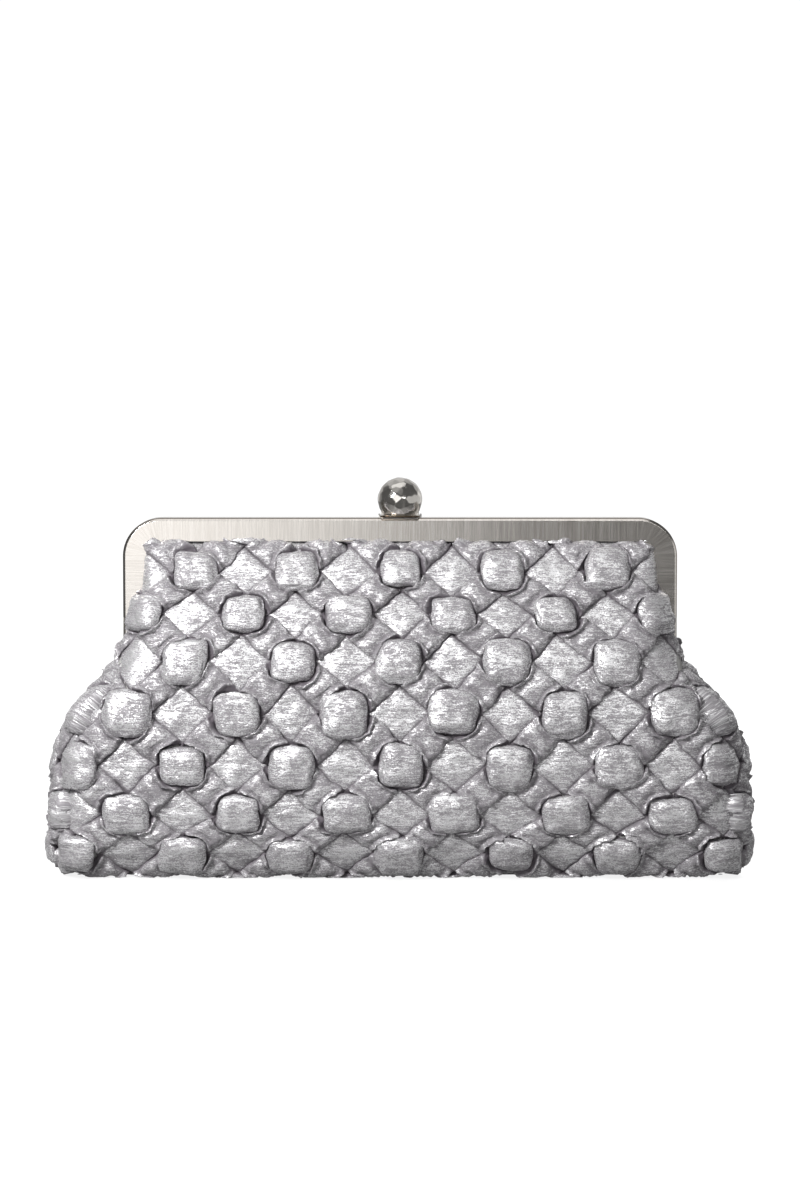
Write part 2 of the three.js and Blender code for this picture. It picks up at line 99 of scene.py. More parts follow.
class NodeSheet:  # builds the nodes of one material, world or geometry tree
    def __init__(self, tree):
        self.tree = tree

    def node(self, kind, settings=None, inputs=None):
        made = self.tree.nodes.new(kind)
        for name, value in (settings or {}).items():
            if name == "stops":
                self.setStops(made.color_ramp, value)
            else:
                setattr(made, name, value)
        for key, value in (inputs or {}).items():
            self.feed(self.findSocket(made, key), value)
        return made

    def wire(self, kind, settings=None, inputs=None, output=0):
        return Wire(self, self.node(kind, settings, inputs).outputs[output])

    def findSocket(self, made, key):
        if isinstance(key, int):
            return made.inputs[key]
        return next((s for s in made.inputs if s.identifier == key), None) or made.inputs[key]

    def feed(self, socket, value):
        if isinstance(value, Wire):
            self.tree.links.new(value.socket, socket)
        elif isinstance(value, bpy.types.NodeSocket):
            self.tree.links.new(value, socket)
        else:
            socket.default_value = value

    def setStops(self, ramp, stops):
        while len(ramp.elements) < len(stops):
            ramp.elements.new(0.5)
        for element, (place, value) in zip(ramp.elements, stops):
            element.position = place
            element.color = (value, value, value, 1) if isinstance(value, (int, float)) else (*value, 1)

    def math(self, operation, *values):
        return self.wire("ShaderNodeMath", {"operation": operation}, dict(enumerate(values)))

    def vector(self, operation, *values, output=0):
        return self.wire("ShaderNodeVectorMath", {"operation": operation}, dict(enumerate(values)), output)

    def between(self, value, low, high):  # 0 below low, 1 above high, smooth between
        return self.wire("ShaderNodeMapRange", {"interpolation_type": "SMOOTHSTEP"},
                         {"Value": value, "From Min": low, "From Max": high})

    def scaled(self, vector, factor):
        return self.wire("ShaderNodeVectorMath", {"operation": "SCALE"}, {0: vector, "Scale": factor})

    def split(self, vector):
        made = self.node("ShaderNodeSeparateXYZ", inputs={0: vector})
        return [Wire(self, out) for out in made.outputs]

    def join(self, x, y, z):
        return self.wire("ShaderNodeCombineXYZ", inputs={0: x, 1: y, 2: z})

    def noise(self, vector, scale, detail=2.0, roughness=0.5, colour=False):
        inputs = {"Vector": vector, "Scale": scale, "Detail": detail, "Roughness": roughness}
        return self.wire("ShaderNodeTexNoise", inputs=inputs, output=1 if colour else 0)

    def blendColour(self, factor, a, b):
        return self.wire("ShaderNodeMix", {"data_type": "RGBA"},
                         {"Factor_Float": factor, "A_Color": a, "B_Color": b}, 2)


def newMaterial(name, build, **fixed):
    material = bpy.data.materials.new(name)
    material.use_nodes = True
    tree = material.node_tree
    shader = tree.nodes["Principled BSDF"]
    for socket, value in fixed.items():
        shader.inputs[socket.replace("_", " ")].default_value = value
    sheet = NodeSheet(tree)
    for socket, value in build(sheet).items():
        sheet.feed(shader.inputs[socket], value)
    return material


def colour(r, g, b):
    return (r, g, b, 1.0)


def objectPoint(sheet):
    return sheet.wire("ShaderNodeTexCoord", output=3)


def bump(sheet, height, distance, strength=1.0, under=None):
    inputs = {"Height": height, "Distance": distance, "Strength": strength}
    if under is not None:
        inputs["Normal"] = under
    return sheet.wire("ShaderNodeBump", inputs=inputs)


# materials

lame = {
    "thread": colour(0.255, 0.243, 0.257),
    "foil": colour(0.88, 0.875, 0.885),
    # painted shade, mixed in as the 'open' attribute falls below 1: in creases, down the pillows' sides, at
    # the diamonds' edges and over the links
    "paintedShade": colour(0.13, 0.115, 0.13),
    "slubLength": 4.0,  # how much longer than thick a dash of foil is
    "slubSize": 1750.0,  # dashes to the metre
    "speckSize": 2975.0,
    "pickSize": 1100,
    "patchSize": 170,
    "foilRange": (0.458, 0.582),  # where the mixed noises turn from thread to foil
    "crepeSize": 330,
    "weaveRelief": 0.00028,
    "crepeRelief": 0.0008,
}


def lameCloth(sheet):
    place = sheet.wire("ShaderNodeAttribute", {"attribute_name": "cloth"}, output=1)
    x, y, z = sheet.split(place)
    along = sheet.join(x * (1 / lame["slubLength"]), y, z)
    slub = sheet.noise(along, lame["slubSize"], 2, 0.6)
    speck = sheet.noise(sheet.join(x * 0.6, y, z), lame["speckSize"], 1, 0.6)
    pick = sheet.noise(sheet.join(x * 0.05, y, z), lame["pickSize"], 2, 0.6)
    patch = sheet.noise(sheet.join(x * 0.8, y, z), lame["patchSize"], 2, 0.5)
    # the 'open' attribute sets the painted shade: at 1 the cloth takes none, at 0 all of it, with less foil
    # and less metallic
    unshadedShare = sheet.wire("ShaderNodeAttribute", {"attribute_name": "open"}, output=2)
    # random wear of the foil, plus a painted highlight: more foil where the cloth is open
    foilWearAndHighlight = slub * 0.42 + speck * 0.40 + pick * 0.18 + (patch - 0.5) * 0.22 + (unshadedShare - 0.9) * 0.13
    foil = sheet.between(foilWearAndHighlight, *lame["foilRange"])
    base = sheet.blendColour(foil, lame["thread"], lame["foil"])
    # painted shade in creases, down the pillows' sides and over the links
    base = sheet.blendColour(unshadedShare, lame["paintedShade"], base)
    crepe = sheet.noise(sheet.join(x * 0.35, y, z), lame["crepeSize"], 3, 0.6)
    relief = bump(sheet, slub * 0.5 + pick * 0.3 + speck * 0.4, lame["weaveRelief"], 0.9)
    relief = bump(sheet, crepe, lame["crepeRelief"], 0.6, relief)
    return {
        "Base Color": base,
        "Metallic": foil * 0.85 * unshadedShare,
        "Roughness": 0.54 - foil * 0.18,
        "Normal": relief,
    }


silverLame = newMaterial("silverLame", lameCloth, Specular_IOR_Level=0.35, Sheen_Weight=0.15,
                         Sheen_Roughness=0.4)


nickel = {
    "pale": colour(0.84, 0.80, 0.755),
    "dull": colour(0.69, 0.65, 0.605),
    # edge: the colour of a painted dark reflection along the frame's outer edge and on the tongue's sides
    "edge": colour(0.11, 0.075, 0.05),
    "darkReflectionBand": (0.0046, 0.0050, 0.0053, 0.0057),  # the painted dark reflection along the outer edge, in the brush map, softened at both ends
    # a place inside that band, where small parts take the painted dark reflection
    "onDarkReflection": 0.00515,
    "onFace": 0.010,
    "ballDull": colour(0.60, 0.57, 0.53),
    "ballPale": colour(0.78, 0.755, 0.72),
}


def brushedNickel(sheet):
    u, v, _ = sheet.split(sheet.wire("ShaderNodeUVMap", {"uv_map": "brush"}))
    line = sheet.noise(sheet.join(u, v * 0.03, 0), 1900, 3, 0.7)
    tone = line * 0.75 + sheet.noise(sheet.join(u, v * 0.1, 0), 240, 2, 0.5) * 0.25
    cloud = sheet.noise(objectPoint(sheet), 30, 3, 0.5)
    base = sheet.blendColour(sheet.between(tone, 0.34, 0.66), nickel["dull"], nickel["pale"])
    base = sheet.blendColour(sheet.between(cloud, 0.45, 0.8) * 0.3, base, nickel["dull"])
    # painted dark reflection: a thin dark brown line along the frame's outer edge
    start, full, fading, end = nickel["darkReflectionBand"]
    darkReflectionLine = sheet.between(v, start, full) * (1 - sheet.between(v, fading, end))
    base = sheet.blendColour(darkReflectionLine, base, nickel["edge"])
    return {"Base Color": base, "Roughness": 0.12 + tone * 0.10, "Normal": bump(sheet, tone, 0.000012, 0.4)}


def polishedNickel(sheet):
    place = objectPoint(sheet)
    cloud = sheet.noise(place, 220, 3, 0.6)
    scratch = sheet.noise(sheet.vector("MULTIPLY", place, (1, 1, 0.08)), 3000, 2, 0.6)
    base = sheet.blendColour(cloud, nickel["ballDull"], nickel["ballPale"])
    return {"Base Color": base, "Roughness": 0.04 + cloud * 0.10 + scratch * 0.05,
            "Normal": bump(sheet, scratch, 0.00002, 0.4)}


# the darker and the paler colour of each plain material
tones = {
    "steel": (colour(0.36, 0.35, 0.34), colour(0.60, 0.59, 0.57)),
    "satin": (colour(0.22, 0.205, 0.225), colour(0.40, 0.385, 0.41)),
    "wadding": (colour(0.62, 0.61, 0.59), colour(0.86, 0.85, 0.83)),
    "board": (colour(0.20, 0.19, 0.175), colour(0.34, 0.325, 0.30)),
    "paper": (colour(0.42, 0.35, 0.26), colour(0.70, 0.62, 0.50)),
    "thread": (colour(0.34, 0.33, 0.35), colour(0.62, 0.61, 0.63)),
}


def drawnSteel(sheet):
    cloud = sheet.noise(objectPoint(sheet), 900, 3, 0.6)
    base = sheet.blendColour(cloud, *tones["steel"])
    return {"Base Color": base, "Roughness": 0.26 + cloud * 0.2}


def satinCloth(sheet):
    x, y, z = sheet.split(objectPoint(sheet))
    warp = sheet.noise(sheet.join(x, y, z * 0.05), 5200, 2, 0.6)
    twill = sheet.wire("ShaderNodeTexWave", {"bands_direction": "DIAGONAL"},
                       {"Vector": sheet.join(x, y, z * 0.6), "Scale": 620, "Distortion": 1.0, "Detail": 1})
    cloud = sheet.noise(objectPoint(sheet), 60, 3, 0.5)
    base = sheet.blendColour(warp * 0.6 + cloud * 0.4, *tones["satin"])
    return {"Base Color": base, "Roughness": 0.36 + cloud * 0.2,
            "Normal": bump(sheet, warp * 0.6 + twill * 0.4, 0.00008, 0.7)}


def fibreWadding(sheet):
    bent = sheet.vector("ADD", objectPoint(sheet), sheet.noise(objectPoint(sheet), 120, 2, 0.5, True))
    curl = sheet.noise(bent, 700, 4, 0.7)
    base = sheet.blendColour(curl, *tones["wadding"])
    return {"Base Color": base, "Normal": bump(sheet, curl, 0.0005, 0.9)}


def greyBoard(sheet):
    fleck = sheet.noise(objectPoint(sheet), 1400, 3, 0.7)
    base = sheet.blendColour(sheet.between(fleck, 0.35, 0.7), *tones["board"])
    return {"Base Color": base, "Normal": bump(sheet, fleck, 0.0001, 0.6)}


def twistedPaper(sheet):
    twist = sheet.wire("ShaderNodeTexWave", {"bands_direction": "DIAGONAL"},
                       {"Vector": objectPoint(sheet), "Scale": 300, "Distortion": 2.0, "Detail": 2})
    base = sheet.blendColour(twist, *tones["paper"])
    return {"Base Color": base, "Normal": bump(sheet, twist, 0.0003, 0.8)}


def silkThread(sheet):
    fibre = sheet.noise(objectPoint(sheet), 4000, 2, 0.6)
    return {"Base Color": sheet.blendColour(fibre, *tones["thread"])}


frameNickel = newMaterial("frameNickel", brushedNickel, Metallic=1.0)
ballNickel = newMaterial("ballNickel", polishedNickel, Metallic=1.0)
springSteel = newMaterial("springSteel", drawnSteel, Metallic=1.0)
liningSatin = newMaterial("liningSatin", satinCloth, Sheen_Weight=0.4, Sheen_Roughness=0.35)
paleWadding = newMaterial("paleWadding", fibreWadding, Roughness=0.95, Sheen_Weight=0.3)
innerBoard = newMaterial("innerBoard", greyBoard, Roughness=0.85)
paperCord = newMaterial("paperCord", twistedPaper, Roughness=0.8)
sewingThread = newMaterial("sewingThread", silkThread, Roughness=0.5, Sheen_Weight=0.3)


# the soft body's outer shape

body = {
    # height, half width, half depth, corner radius of the bag's level outline
    "outline": (
        (0.0, 125.0, 15.0, 9.0), (5.0, 127.4, 21.5, 13.0), (13.0, 128.4, 26.6, 17.0),
        (26.0, 129.5, 29.6, 20.0), (42.0, 126.6, 30.4, 20.0), (55.0, 124.2, 30.4, 20.0),
        (63.0, 118.6, 30.0, 20.0), (72.0, 110.2, 29.2, 20.0), (80.0, 104.0, 27.8, 18.0),
        (88.0, 99.2, 25.6, 15.0), (96.0, 96.5, 22.8, 12.0), (106.0, 94.6, 18.6, 9.0),
        (114.0, 94.0, 14.2, 6.0), (122.5, 93.0, 8.6, 3.0),
    ),
    "sideInset": 0.5,  # the sides' layers lie closer together than the faces'
    "crown": 0.07,  # the faces stand this much prouder in the middle
    "leastCorner": 1.5,
    "seamFlap": 7.0,  # how far a level line runs on past its seam
    "bend": (60, 102),  # heights for a bend of the cloth with its half of the frame; nothing reads them
    "toArm": (70, 84),  # heights where the faces' side edges leave the gusset for the frame's arm
    "edge": 7.4,  # side edges of the face panels, from the parting plane
    "channel": 4.2,  # where the cloth goes into the frame's channel, from the parting plane
    "armInside": 93.0,
    "gussetTop": 76.0,
}

lattice = {
    "pitch": 19.75,  # from a pillow to the flat diamond beside it
    # columns to each side of the middle, and the lowest and highest row
    "face": (8, (-1.0, 7.0)),
    "gusset": (2.2, (-1.0, 4.4)),
    "relief": 4.9,  # a pillow's height above the diamonds
    # the height of each row of the lattice, counted from the lowest pillows
    "rows": ((-0.6, 1.5), (0, 10.8), (1, 24.2), (2, 42.4), (3, 61.6), (4, 80.2), (5, 96.8), (6, 111.4),
             (6.66, 122.9)),
    "topTightness": 0.95,
}


def smoothed(z, table, column, window=3.0):
    heights = [row[0] for row in table]
    values = [row[column] for row in table]
    steps = np.linspace(-window, window, 7)
    return float(np.mean([np.interp(z + step, heights, values) for step in steps]))


def rowHeight(row):
    return smoothed(row, lattice["rows"], 1, 0.12)


def arc(centre, radius, start, stop, count=14):
    angles = np.radians(np.linspace(start, stop, count))
    return [(centre[0] + radius * math.sin(t), centre[1] - radius * math.cos(t)) for t in angles]


def smoothStep(value, low, high):
    t = np.clip((value - low) / (high - low), 0, 1)
    return t * t * (3 - 2 * t)


def faceLine(z, inset, toArm):  # half a level line of the front, from its middle to beyond its side edge
    width = smoothed(z, body["outline"], 1) - inset * body["sideInset"] * (1 - 0.74 * smoothStep(z, 66, 80))
    depth = smoothed(z, body["outline"], 2) - inset
    corner = max(smoothed(z, body["outline"], 3) - inset * 0.4, body["leastCorner"])
    line = [(x, -depth) for x in np.linspace(0, width - corner, 12)[:-1]]
    line += arc((width - corner, -depth + corner), corner, 0, 88 if toArm else 45)
    line = [(x, y * (1 - body["crown"] * (x / (width + inset)) ** 2)) for x, y in line]
    endX, endY = line[-1]
    if toArm and endY < -body["edge"] - 0.5:
        line.append((endX, -body["edge"]))
    turn = len(line) - 1
    if toArm:
        inside = body["armInside"]
        line += [(inside - 0.6, -body["channel"]), (inside + 2.5, -body["channel"])]
    else:
        line += [(endX - body["seamFlap"], endY + body["seamFlap"])]
    return line, turn


def gussetLine(z, inset):  # half a level line of the +X side, from its middle to beyond its seam
    width = smoothed(z, body["outline"], 1) - inset * body["sideInset"]
    depth = smoothed(z, body["outline"], 2) - inset
    corner = max(smoothed(z, body["outline"], 3) - inset * 0.4, body["leastCorner"])
    squeeze = 1 - body["crown"]
    line = [(width, 0), (width, (depth - corner) * squeeze)]
    for turn in np.radians(np.linspace(5, 45, 10)):
        y = depth - corner + corner * math.sin(turn)
        line.append((width - corner + corner * math.cos(turn), y * squeeze))
    turn = len(line) - 1
    endX, endY = line[-1]
    return line + [(endX - body["seamFlap"], endY - body["seamFlap"])], turn


def measured(line):  # the points of a line, and how far along it each is
    x, y = np.array(line).T
    return x, y, np.concatenate(([0], np.cumsum(np.hypot(np.diff(x), np.diff(y)))))


def walk(line, turn, distances):  # the points that far along a line, and how far past its turn each is
    x, y, lengths = measured(line)
    return np.interp(distances, lengths, x), np.interp(distances, lengths, y), distances - lengths[turn]


def tucked(row):  # the height of a row, and how far its cloth has turned in past the bottom or top edge
    (lowRow, lowHeight), (highRow, highHeight) = lattice["rows"][0], lattice["rows"][-1]
    under = max(lowRow - row, 0) * lattice["pitch"] * 0.8
    over = max(row - highRow, 0) * lattice["pitch"] * 0.6
    return min(max(rowHeight(row), lowHeight), highHeight), under, over


def faceRow(columns, row, inset):  # the front's points along a row, and the share of the relief they have
    z, under, over = tucked(row)
    tight = 1 - (1 - lattice["topTightness"]) * smoothStep(z, 60, 110)
    distances = np.abs(columns) * lattice["pitch"] * tight
    share = smoothStep(z, *body["toArm"])
    inset = inset - 1.1 * smoothStep(z, 96, 118) + 2.6 * smoothStep(z, 121, 123)
    low = walk(*faceLine(z, inset, False), distances)
    high = walk(*faceLine(z, inset, True), distances)
    x, y, past = [a + (b - a) * share for a, b in zip(low, high)]
    nearArm = smoothStep(past, -4, 3) * smoothStep(z, 78, 90)
    intoFrame = smoothStep(z, 121.2, 123.1)
    pastSeam = smoothStep(past, 0, 3)
    relief = (1 - 0.88 * intoFrame) * (1 - 0.55 * nearArm) * (1 - 0.6 * pastSeam)
    heights = np.full(len(columns), z + over + under)
    return np.copysign(x, columns), y + under * 0.25, heights, relief


def gussetRow(columns, row, inset):  # the +X side's points along a row
    z, under, _ = tucked(row)
    down = max(z - body["gussetTop"], 0)
    z = min(z, body["gussetTop"])
    x, y, past = walk(*gussetLine(z, inset), np.abs(columns) * lattice["pitch"])
    dip = smoothStep(z, 66, 78) * 1.5 * (1 - (y / y.max()) ** 2)
    relief = (1 - 0.6 * smoothStep(past, 0, 3)) * (1 - 0.3 * smoothStep(z, 72, 77))
    heights = np.full(len(columns), z + under - down)
    return x - dip - down * 0.5 - under * 0.25, np.copysign(y, columns), heights, relief


uvSpan = 32  # lattice cells to the whole of a guide's UV map


def guideSurface(name, rowOf, columns, rows, turned, inset):
    # a smooth sheet whose UV map is the lattice's own columns and rows
    step = 0.1
    us = np.arange(-columns, columns + step / 2, step)
    vs = np.arange(rows[0], rows[1] + step / 2, step)
    lines = [rowOf(us, v, inset) for v in vs]
    side = -1 if turned else 1
    points = np.concatenate([np.stack((x * side, y * side, z), 1) for x, y, z, _ in lines]) * mm
    reliefs = np.concatenate([line[3] for line in lines])
    wide = len(us)
    mesh = bpy.data.meshes.new(name)
    mesh.from_pydata(points.tolist(), [], gridFaces(len(vs), wide))
    uv = mesh.uv_layers.new(name="lattice")
    for loop in mesh.loops:
        row, column = divmod(loop.vertex_index, wide)
        uv.data[loop.index].uv = (us[column] / uvSpan + 0.5, vs[row] / uvSpan + 0.5)
    mesh.attributes.new("relief", "FLOAT", "POINT").data.foreach_set("value", reliefs)
    return addObject(name, mesh)


# the three shapes that the smocking repeats, in lattice cells

cell = {
    "pillow": 0.400,  # half a pillow's side
    "square": 5.2,  # 2 makes a round pillow, more makes a squarer one
    "link": 0.62,  # height of a link's ridge, as a share of a pillow's
    "floor": 0.06,
}


def signedPower(value, power):
    return math.copysign(abs(value) ** power, value)


def pillowRadius(angle):
    n = cell["square"]
    return cell["pillow"] / (abs(math.cos(angle)) ** n + abs(math.sin(angle)) ** n) ** (1 / n)


def gridMesh(name, across, along, pointAt, wrap=False):
    # pointAt gives a place and how open the cloth is there, which sets its painted shade: 0 down in a crease
    # takes the full painted shade, 1 out in the light takes none
    given = [pointAt(i, j) for j in range(along + 1) for i in range(across + (0 if wrap else 1))]
    points = [place[:3] for place in given]
    mesh = bpy.data.meshes.new(name)
    mesh.from_pydata(points, [], gridFaces(along + 1, across if wrap else across + 1, wrap))
    mesh.attributes.new("open", "FLOAT", "POINT").data.foreach_set("value", [place[3] for place in given])
    return addObject(name, mesh)


def pillowShape():
    rings = 14
    sides = 40

    def pointAt(i, j):
        angle = 2 * math.pi * i / sides
        lean = math.radians(4 + 126 * (1 - j / rings))
        reach = pillowRadius(angle) * 1.035 * math.sin(lean) ** 0.52
        pucker = 1 + 0.03 * math.cos(4 * angle) * math.sin(lean) ** 4
        height = 0.42 + 0.60 * signedPower(math.cos(lean), 1.15)
        # the fourth value is painted shade: down the pillow's sides, and a little over its top (0.94)
        return (reach * pucker * math.cos(angle), reach * pucker * math.sin(angle), height,
                0.94 * smoothStep(math.cos(lean), -0.25, 0.25))

    made = gridMesh("pillowShape", sides, rings, pointAt, wrap=True)
    edit = bmesh.new()
    edit.from_mesh(made.data)
    edit.verts.ensure_lookup_table()
    edit.faces.new(edit.verts[len(edit.verts) - sides:])
    bmesh.ops.recalc_face_normals(edit, faces=edit.faces)
    edit.to_mesh(made.data)
    edit.free()
    return made


def linkShape():  # lies along X between two pillows, whose middles are at half a diagonal
    across = 22
    along = 36
    reachTo = math.sqrt(0.5)
    # the ridge's height from its middle to where it goes under a pillow: a saddle, then a lip
    profile = ((0, 0.98), (0.2, 0.93), (0.38, 0.76), (0.50, 0.70), (0.59, 0.92), (0.66, 1.16), (0.705, 1.14),
               (0.75, 0.75), (0.82, 0.30), (1.0, 0.0))

    def pointAt(i, j):
        lean = math.radians(-116 + 232 * i / across)
        share = signedPower(math.sin(lean), 0.9)
        run = signedPower(-1 + 2 * j / along, 0.86)
        angle = math.radians(45) * share
        radius = pillowRadius(angle + math.pi / 4)
        endX = reachTo - radius * math.cos(angle) * 0.84
        endY = radius * math.sin(angle)
        waist = 1.13 + 0.05 * (1 - abs(run)) - 0.06 * smoothStep(abs(run), 0.7, 0.9)
        height = np.interp(abs(run), *zip(*profile)) * cell["link"]
        fold = 0.10 * math.cos(3.4 * math.pi * share + 0.9 * run) * smoothStep(abs(run), 0.1, 0.6)
        twist = 0.20 * share * run
        crest = signedPower(math.cos(lean), 0.6)
        # the fourth value is painted shade: down the link's sides and where it goes under a pillow (free), in
        # the saddle before the lip, and over the whole link (0.82)
        free = smoothStep(math.cos(lean), -0.1, 0.4) * (1 - smoothStep(abs(run), 0.69, 0.76))
        paintedValleyShade = 0.35 * smoothStep(abs(run), 0.3, 0.48) * (1 - smoothStep(abs(run), 0.5, 0.6))
        return (run * endX, endY * waist, (height + fold + twist) * crest, free * (1 - paintedValleyShade) * 0.82)

    return gridMesh("linkShape", across, along, pointAt)


def diamondShape():
    count = 16
    reach = (1 - cell["pillow"]) * 1.12

    def pointAt(i, j):
        a = -1 + 2 * i / count
        b = -1 + 2 * j / count
        edge = max(abs(a), abs(b))
        height = cell["floor"] + 0.12 * (1 - edge ** 2) - 0.26 * smoothStep(edge, 0.78, 1)
        # the fourth value is painted shade along the diamond's edges, where it tucks under the links
        return (reach * (a + b) / 2, reach * (b - a) / 2, height, 1 - smoothStep(edge, 0.70, 0.88))

    return gridMesh("diamondShape", count, count, pointAt)


# the smocking tree

def newTree(name, inputs):  # a geometry tree with named inputs: its sheet, its inputs' wires and identifiers
    tree = bpy.data.node_groups.new(name, "GeometryNodeTree")
    sockets = {}
    for label, kind, value in inputs:
        made = tree.interface.new_socket(label, in_out="INPUT", socket_type="NodeSocket" + kind)
        if value is not None:
            made.default_value = value
        sockets[label] = made.identifier
    tree.interface.new_socket("Geometry", in_out="OUTPUT", socket_type="NodeSocketGeometry")
    sheet = NodeSheet(tree)
    given = sheet.node("NodeGroupInput")
    return sheet, {label: Wire(sheet, given.outputs[label]) for label in sockets}, sockets


lowestCloth = 0.0003  # the smocking flattens against the ground below this height, in metres


def sendOut(sheet, geometry, material):
    made = sheet.wire("GeometryNodeRealizeInstances", inputs={"Geometry": geometry})
    made = sheet.wire("GeometryNodeSetMaterial", inputs={"Geometry": made, "Material": material})
    sheet.tree.links.new(made.socket, sheet.node("NodeGroupOutput").inputs[0])


def smockingTree():
    sheet, take, sockets = newTree("smocking", (
        ("Guide", "Geometry", None), ("Pillow", "Object", None), ("Link", "Object", None),
        ("Diamond", "Object", None), ("Cloth", "Material", None), ("Columns", "Int", 16), ("Rows", "Int", 8),
        ("Relief", "Float", 0.005), ("Pitch", "Float", 0.02), ("Unevenness", "Float", 1.0),
        ("Seed", "Int", 1),
    ))
    uneven = take["Unevenness"]

    def rand(low, high, seed):
        return sheet.wire("FunctionNodeRandomValue", {"data_type": "FLOAT"},
                          {"Min_001": low, "Max_001": high, "Seed": take["Seed"] + seed}, 1)

    def latticePoints(offset):
        grid = sheet.wire("GeometryNodeMeshGrid", inputs={
            "Size X": take["Columns"], "Size Y": take["Rows"],
            "Vertices X": take["Columns"] + 1, "Vertices Y": take["Rows"] + 1})
        x, y, _ = sheet.split(sheet.wire("GeometryNodeInputPosition"))
        shifted = sheet.join(x + offset, y + take["Rows"] * 0.5 - 1 + offset, 0)
        return sheet.wire("GeometryNodeSetPosition", inputs={"Geometry": grid, "Position": shifted})

    def parity():  # 0 and 1 by turns, like the squares of a draughtboard
        x, y, _ = sheet.split(sheet.wire("GeometryNodeInputPosition"))
        total = sheet.math("FLOOR", x + 0.01) + sheet.math("FLOOR", y + 0.01) + 100
        rest = sheet.math("FLOORED_MODULO", total, 2)
        return sheet.math("GREATER_THAN", rest, 0.5)

    def scattered(points, shape, selection, turn, seed, vary=0.035):
        source = sheet.node("GeometryNodeObjectInfo", inputs={"Object": take[shape]})
        size = rand(1 - vary, 1 + vary, seed)
        tall = rand(0.90, 1.12, seed + 1)
        tiltX = rand(-0.06, 0.06, seed + 2) * uneven
        tiltY = rand(-0.06, 0.06, seed + 3) * uneven
        spin = rand(-0.09, 0.09, seed + 4) * uneven + turn
        euler = sheet.join(tiltX, tiltY, spin)
        rotation = sheet.wire("FunctionNodeEulerToRotation", inputs={0: euler})
        scale = sheet.join(size, size * rand(0.96, 1.04, seed + 5), tall)
        return sheet.wire("GeometryNodeInstanceOnPoints", inputs={
            "Points": points, "Selection": selection, "Instance": source.outputs["Geometry"],
            "Rotation": rotation, "Scale": scale})

    knots = latticePoints(0.0)
    pillows = scattered(knots, "Pillow", 1 - parity(), 0.0, 10, 0.06)
    diamonds = scattered(knots, "Diamond", parity(), 0.0, 20)
    between = latticePoints(0.5)
    links = scattered(between, "Link", True, (0.5 - parity()) * (math.pi / 2), 30)
    together = sheet.node("GeometryNodeJoinGeometry")
    for part in (links, diamonds, pillows):
        sheet.tree.links.new(part.socket, together.inputs[0])
    flat = sheet.wire("GeometryNodeRealizeInstances", inputs={"Geometry": together.outputs[0]})

    where = sheet.wire("GeometryNodeInputPosition")
    seedShift = sheet.vector("ADD", where, sheet.join(take["Seed"] * 7.3, take["Seed"] * 3.1, 0))
    drift = sheet.vector("SUBTRACT", sheet.noise(seedShift, 0.8, 1, 0.5, True), (0.5, 0.5, 0.5))
    crumple = sheet.vector("SUBTRACT", sheet.noise(seedShift, 3.4, 3, 0.55, True), (0.5, 0.5, 0.5))
    push = sheet.vector("MULTIPLY", drift, (0.20, 0.20, 0.0))
    push = sheet.vector("ADD", push, sheet.vector("MULTIPLY", crumple, (0.15, 0.15, 0.50)))
    push = sheet.scaled(push, uneven)
    flat = sheet.wire("GeometryNodeSetPosition", inputs={"Geometry": flat, "Offset": push})

    x, y, z = sheet.split(where)
    metres = sheet.join(x * take["Pitch"], y * take["Pitch"], z * take["Relief"])
    flat = sheet.wire("GeometryNodeStoreNamedAttribute", {"data_type": "FLOAT_VECTOR", "domain": "POINT"},
                      {"Geometry": flat, "Name": "cloth", "Value": metres})
    uv = sheet.join(x * (1 / uvSpan) + 0.5, y * (1 / uvSpan) + 0.5, 0)
    guideUv = sheet.wire("GeometryNodeInputNamedAttribute", {"data_type": "FLOAT_VECTOR"},
                         {"Name": "lattice"})

    def sampled(value, kind):
        found = sheet.node("GeometryNodeSampleUVSurface", {"data_type": kind},
                           {"Mesh": take["Guide"], "Value": value, "Source UV Map": guideUv, "Sample UV": uv})
        return Wire(sheet, found.outputs[0]), Wire(sheet, found.outputs[1])

    reliefShare = sheet.wire("GeometryNodeInputNamedAttribute", {"data_type": "FLOAT"}, {"Name": "relief"})
    spot, onGuide = sampled(sheet.wire("GeometryNodeInputPosition"), "FLOAT_VECTOR")
    normal, _ = sampled(sheet.wire("GeometryNodeInputNormal"), "FLOAT_VECTOR")
    share, _ = sampled(reliefShare, "FLOAT")
    placed = sheet.vector("ADD", spot, sheet.scaled(normal, z * take["Relief"] * share))
    px, py, pz = sheet.split(placed)
    resting = sheet.join(px, py, sheet.math("MAXIMUM", pz, lowestCloth))
    missing = sheet.wire("FunctionNodeBooleanMath", {"operation": "NOT"}, {0: onGuide})
    kept = sheet.wire("GeometryNodeDeleteGeometry", {"domain": "POINT"},
                      {"Geometry": flat, "Selection": missing})
    made = sheet.wire("GeometryNodeSetPosition", inputs={"Geometry": kept, "Position": resting})
    made = sheet.wire("GeometryNodeSetShadeSmooth", inputs={"Geometry": made})
    sendOut(sheet, made, take["Cloth"])
    return sheet.tree, sockets


def applied(obj, name):  # the evaluated mesh of an object with modifiers, as a new plain object
    graph = bpy.context.evaluated_depsgraph_get()
    mesh = bpy.data.meshes.new_from_object(obj.evaluated_get(graph), depsgraph=graph)
    mesh.name = name
    return addObject(name, mesh)


def removeAll(*objects):
    for obj in objects:
        bpy.data.objects.remove(obj, do_unlink=True)


def grown(obj, name, tree, sockets, values):  # what a geometry tree makes of an object, with these inputs
    modifier = obj.modifiers.new(tree.name, "NODES")
    modifier.node_group = tree
    for label, value in values.items():
        modifier[sockets[label]] = value
    made = applied(obj, name)
    removeAll(obj)
    return made


smocking, smockingSockets = smockingTree()
shapes = {"Pillow": pillowShape(), "Link": linkShape(), "Diamond": diamondShape()}


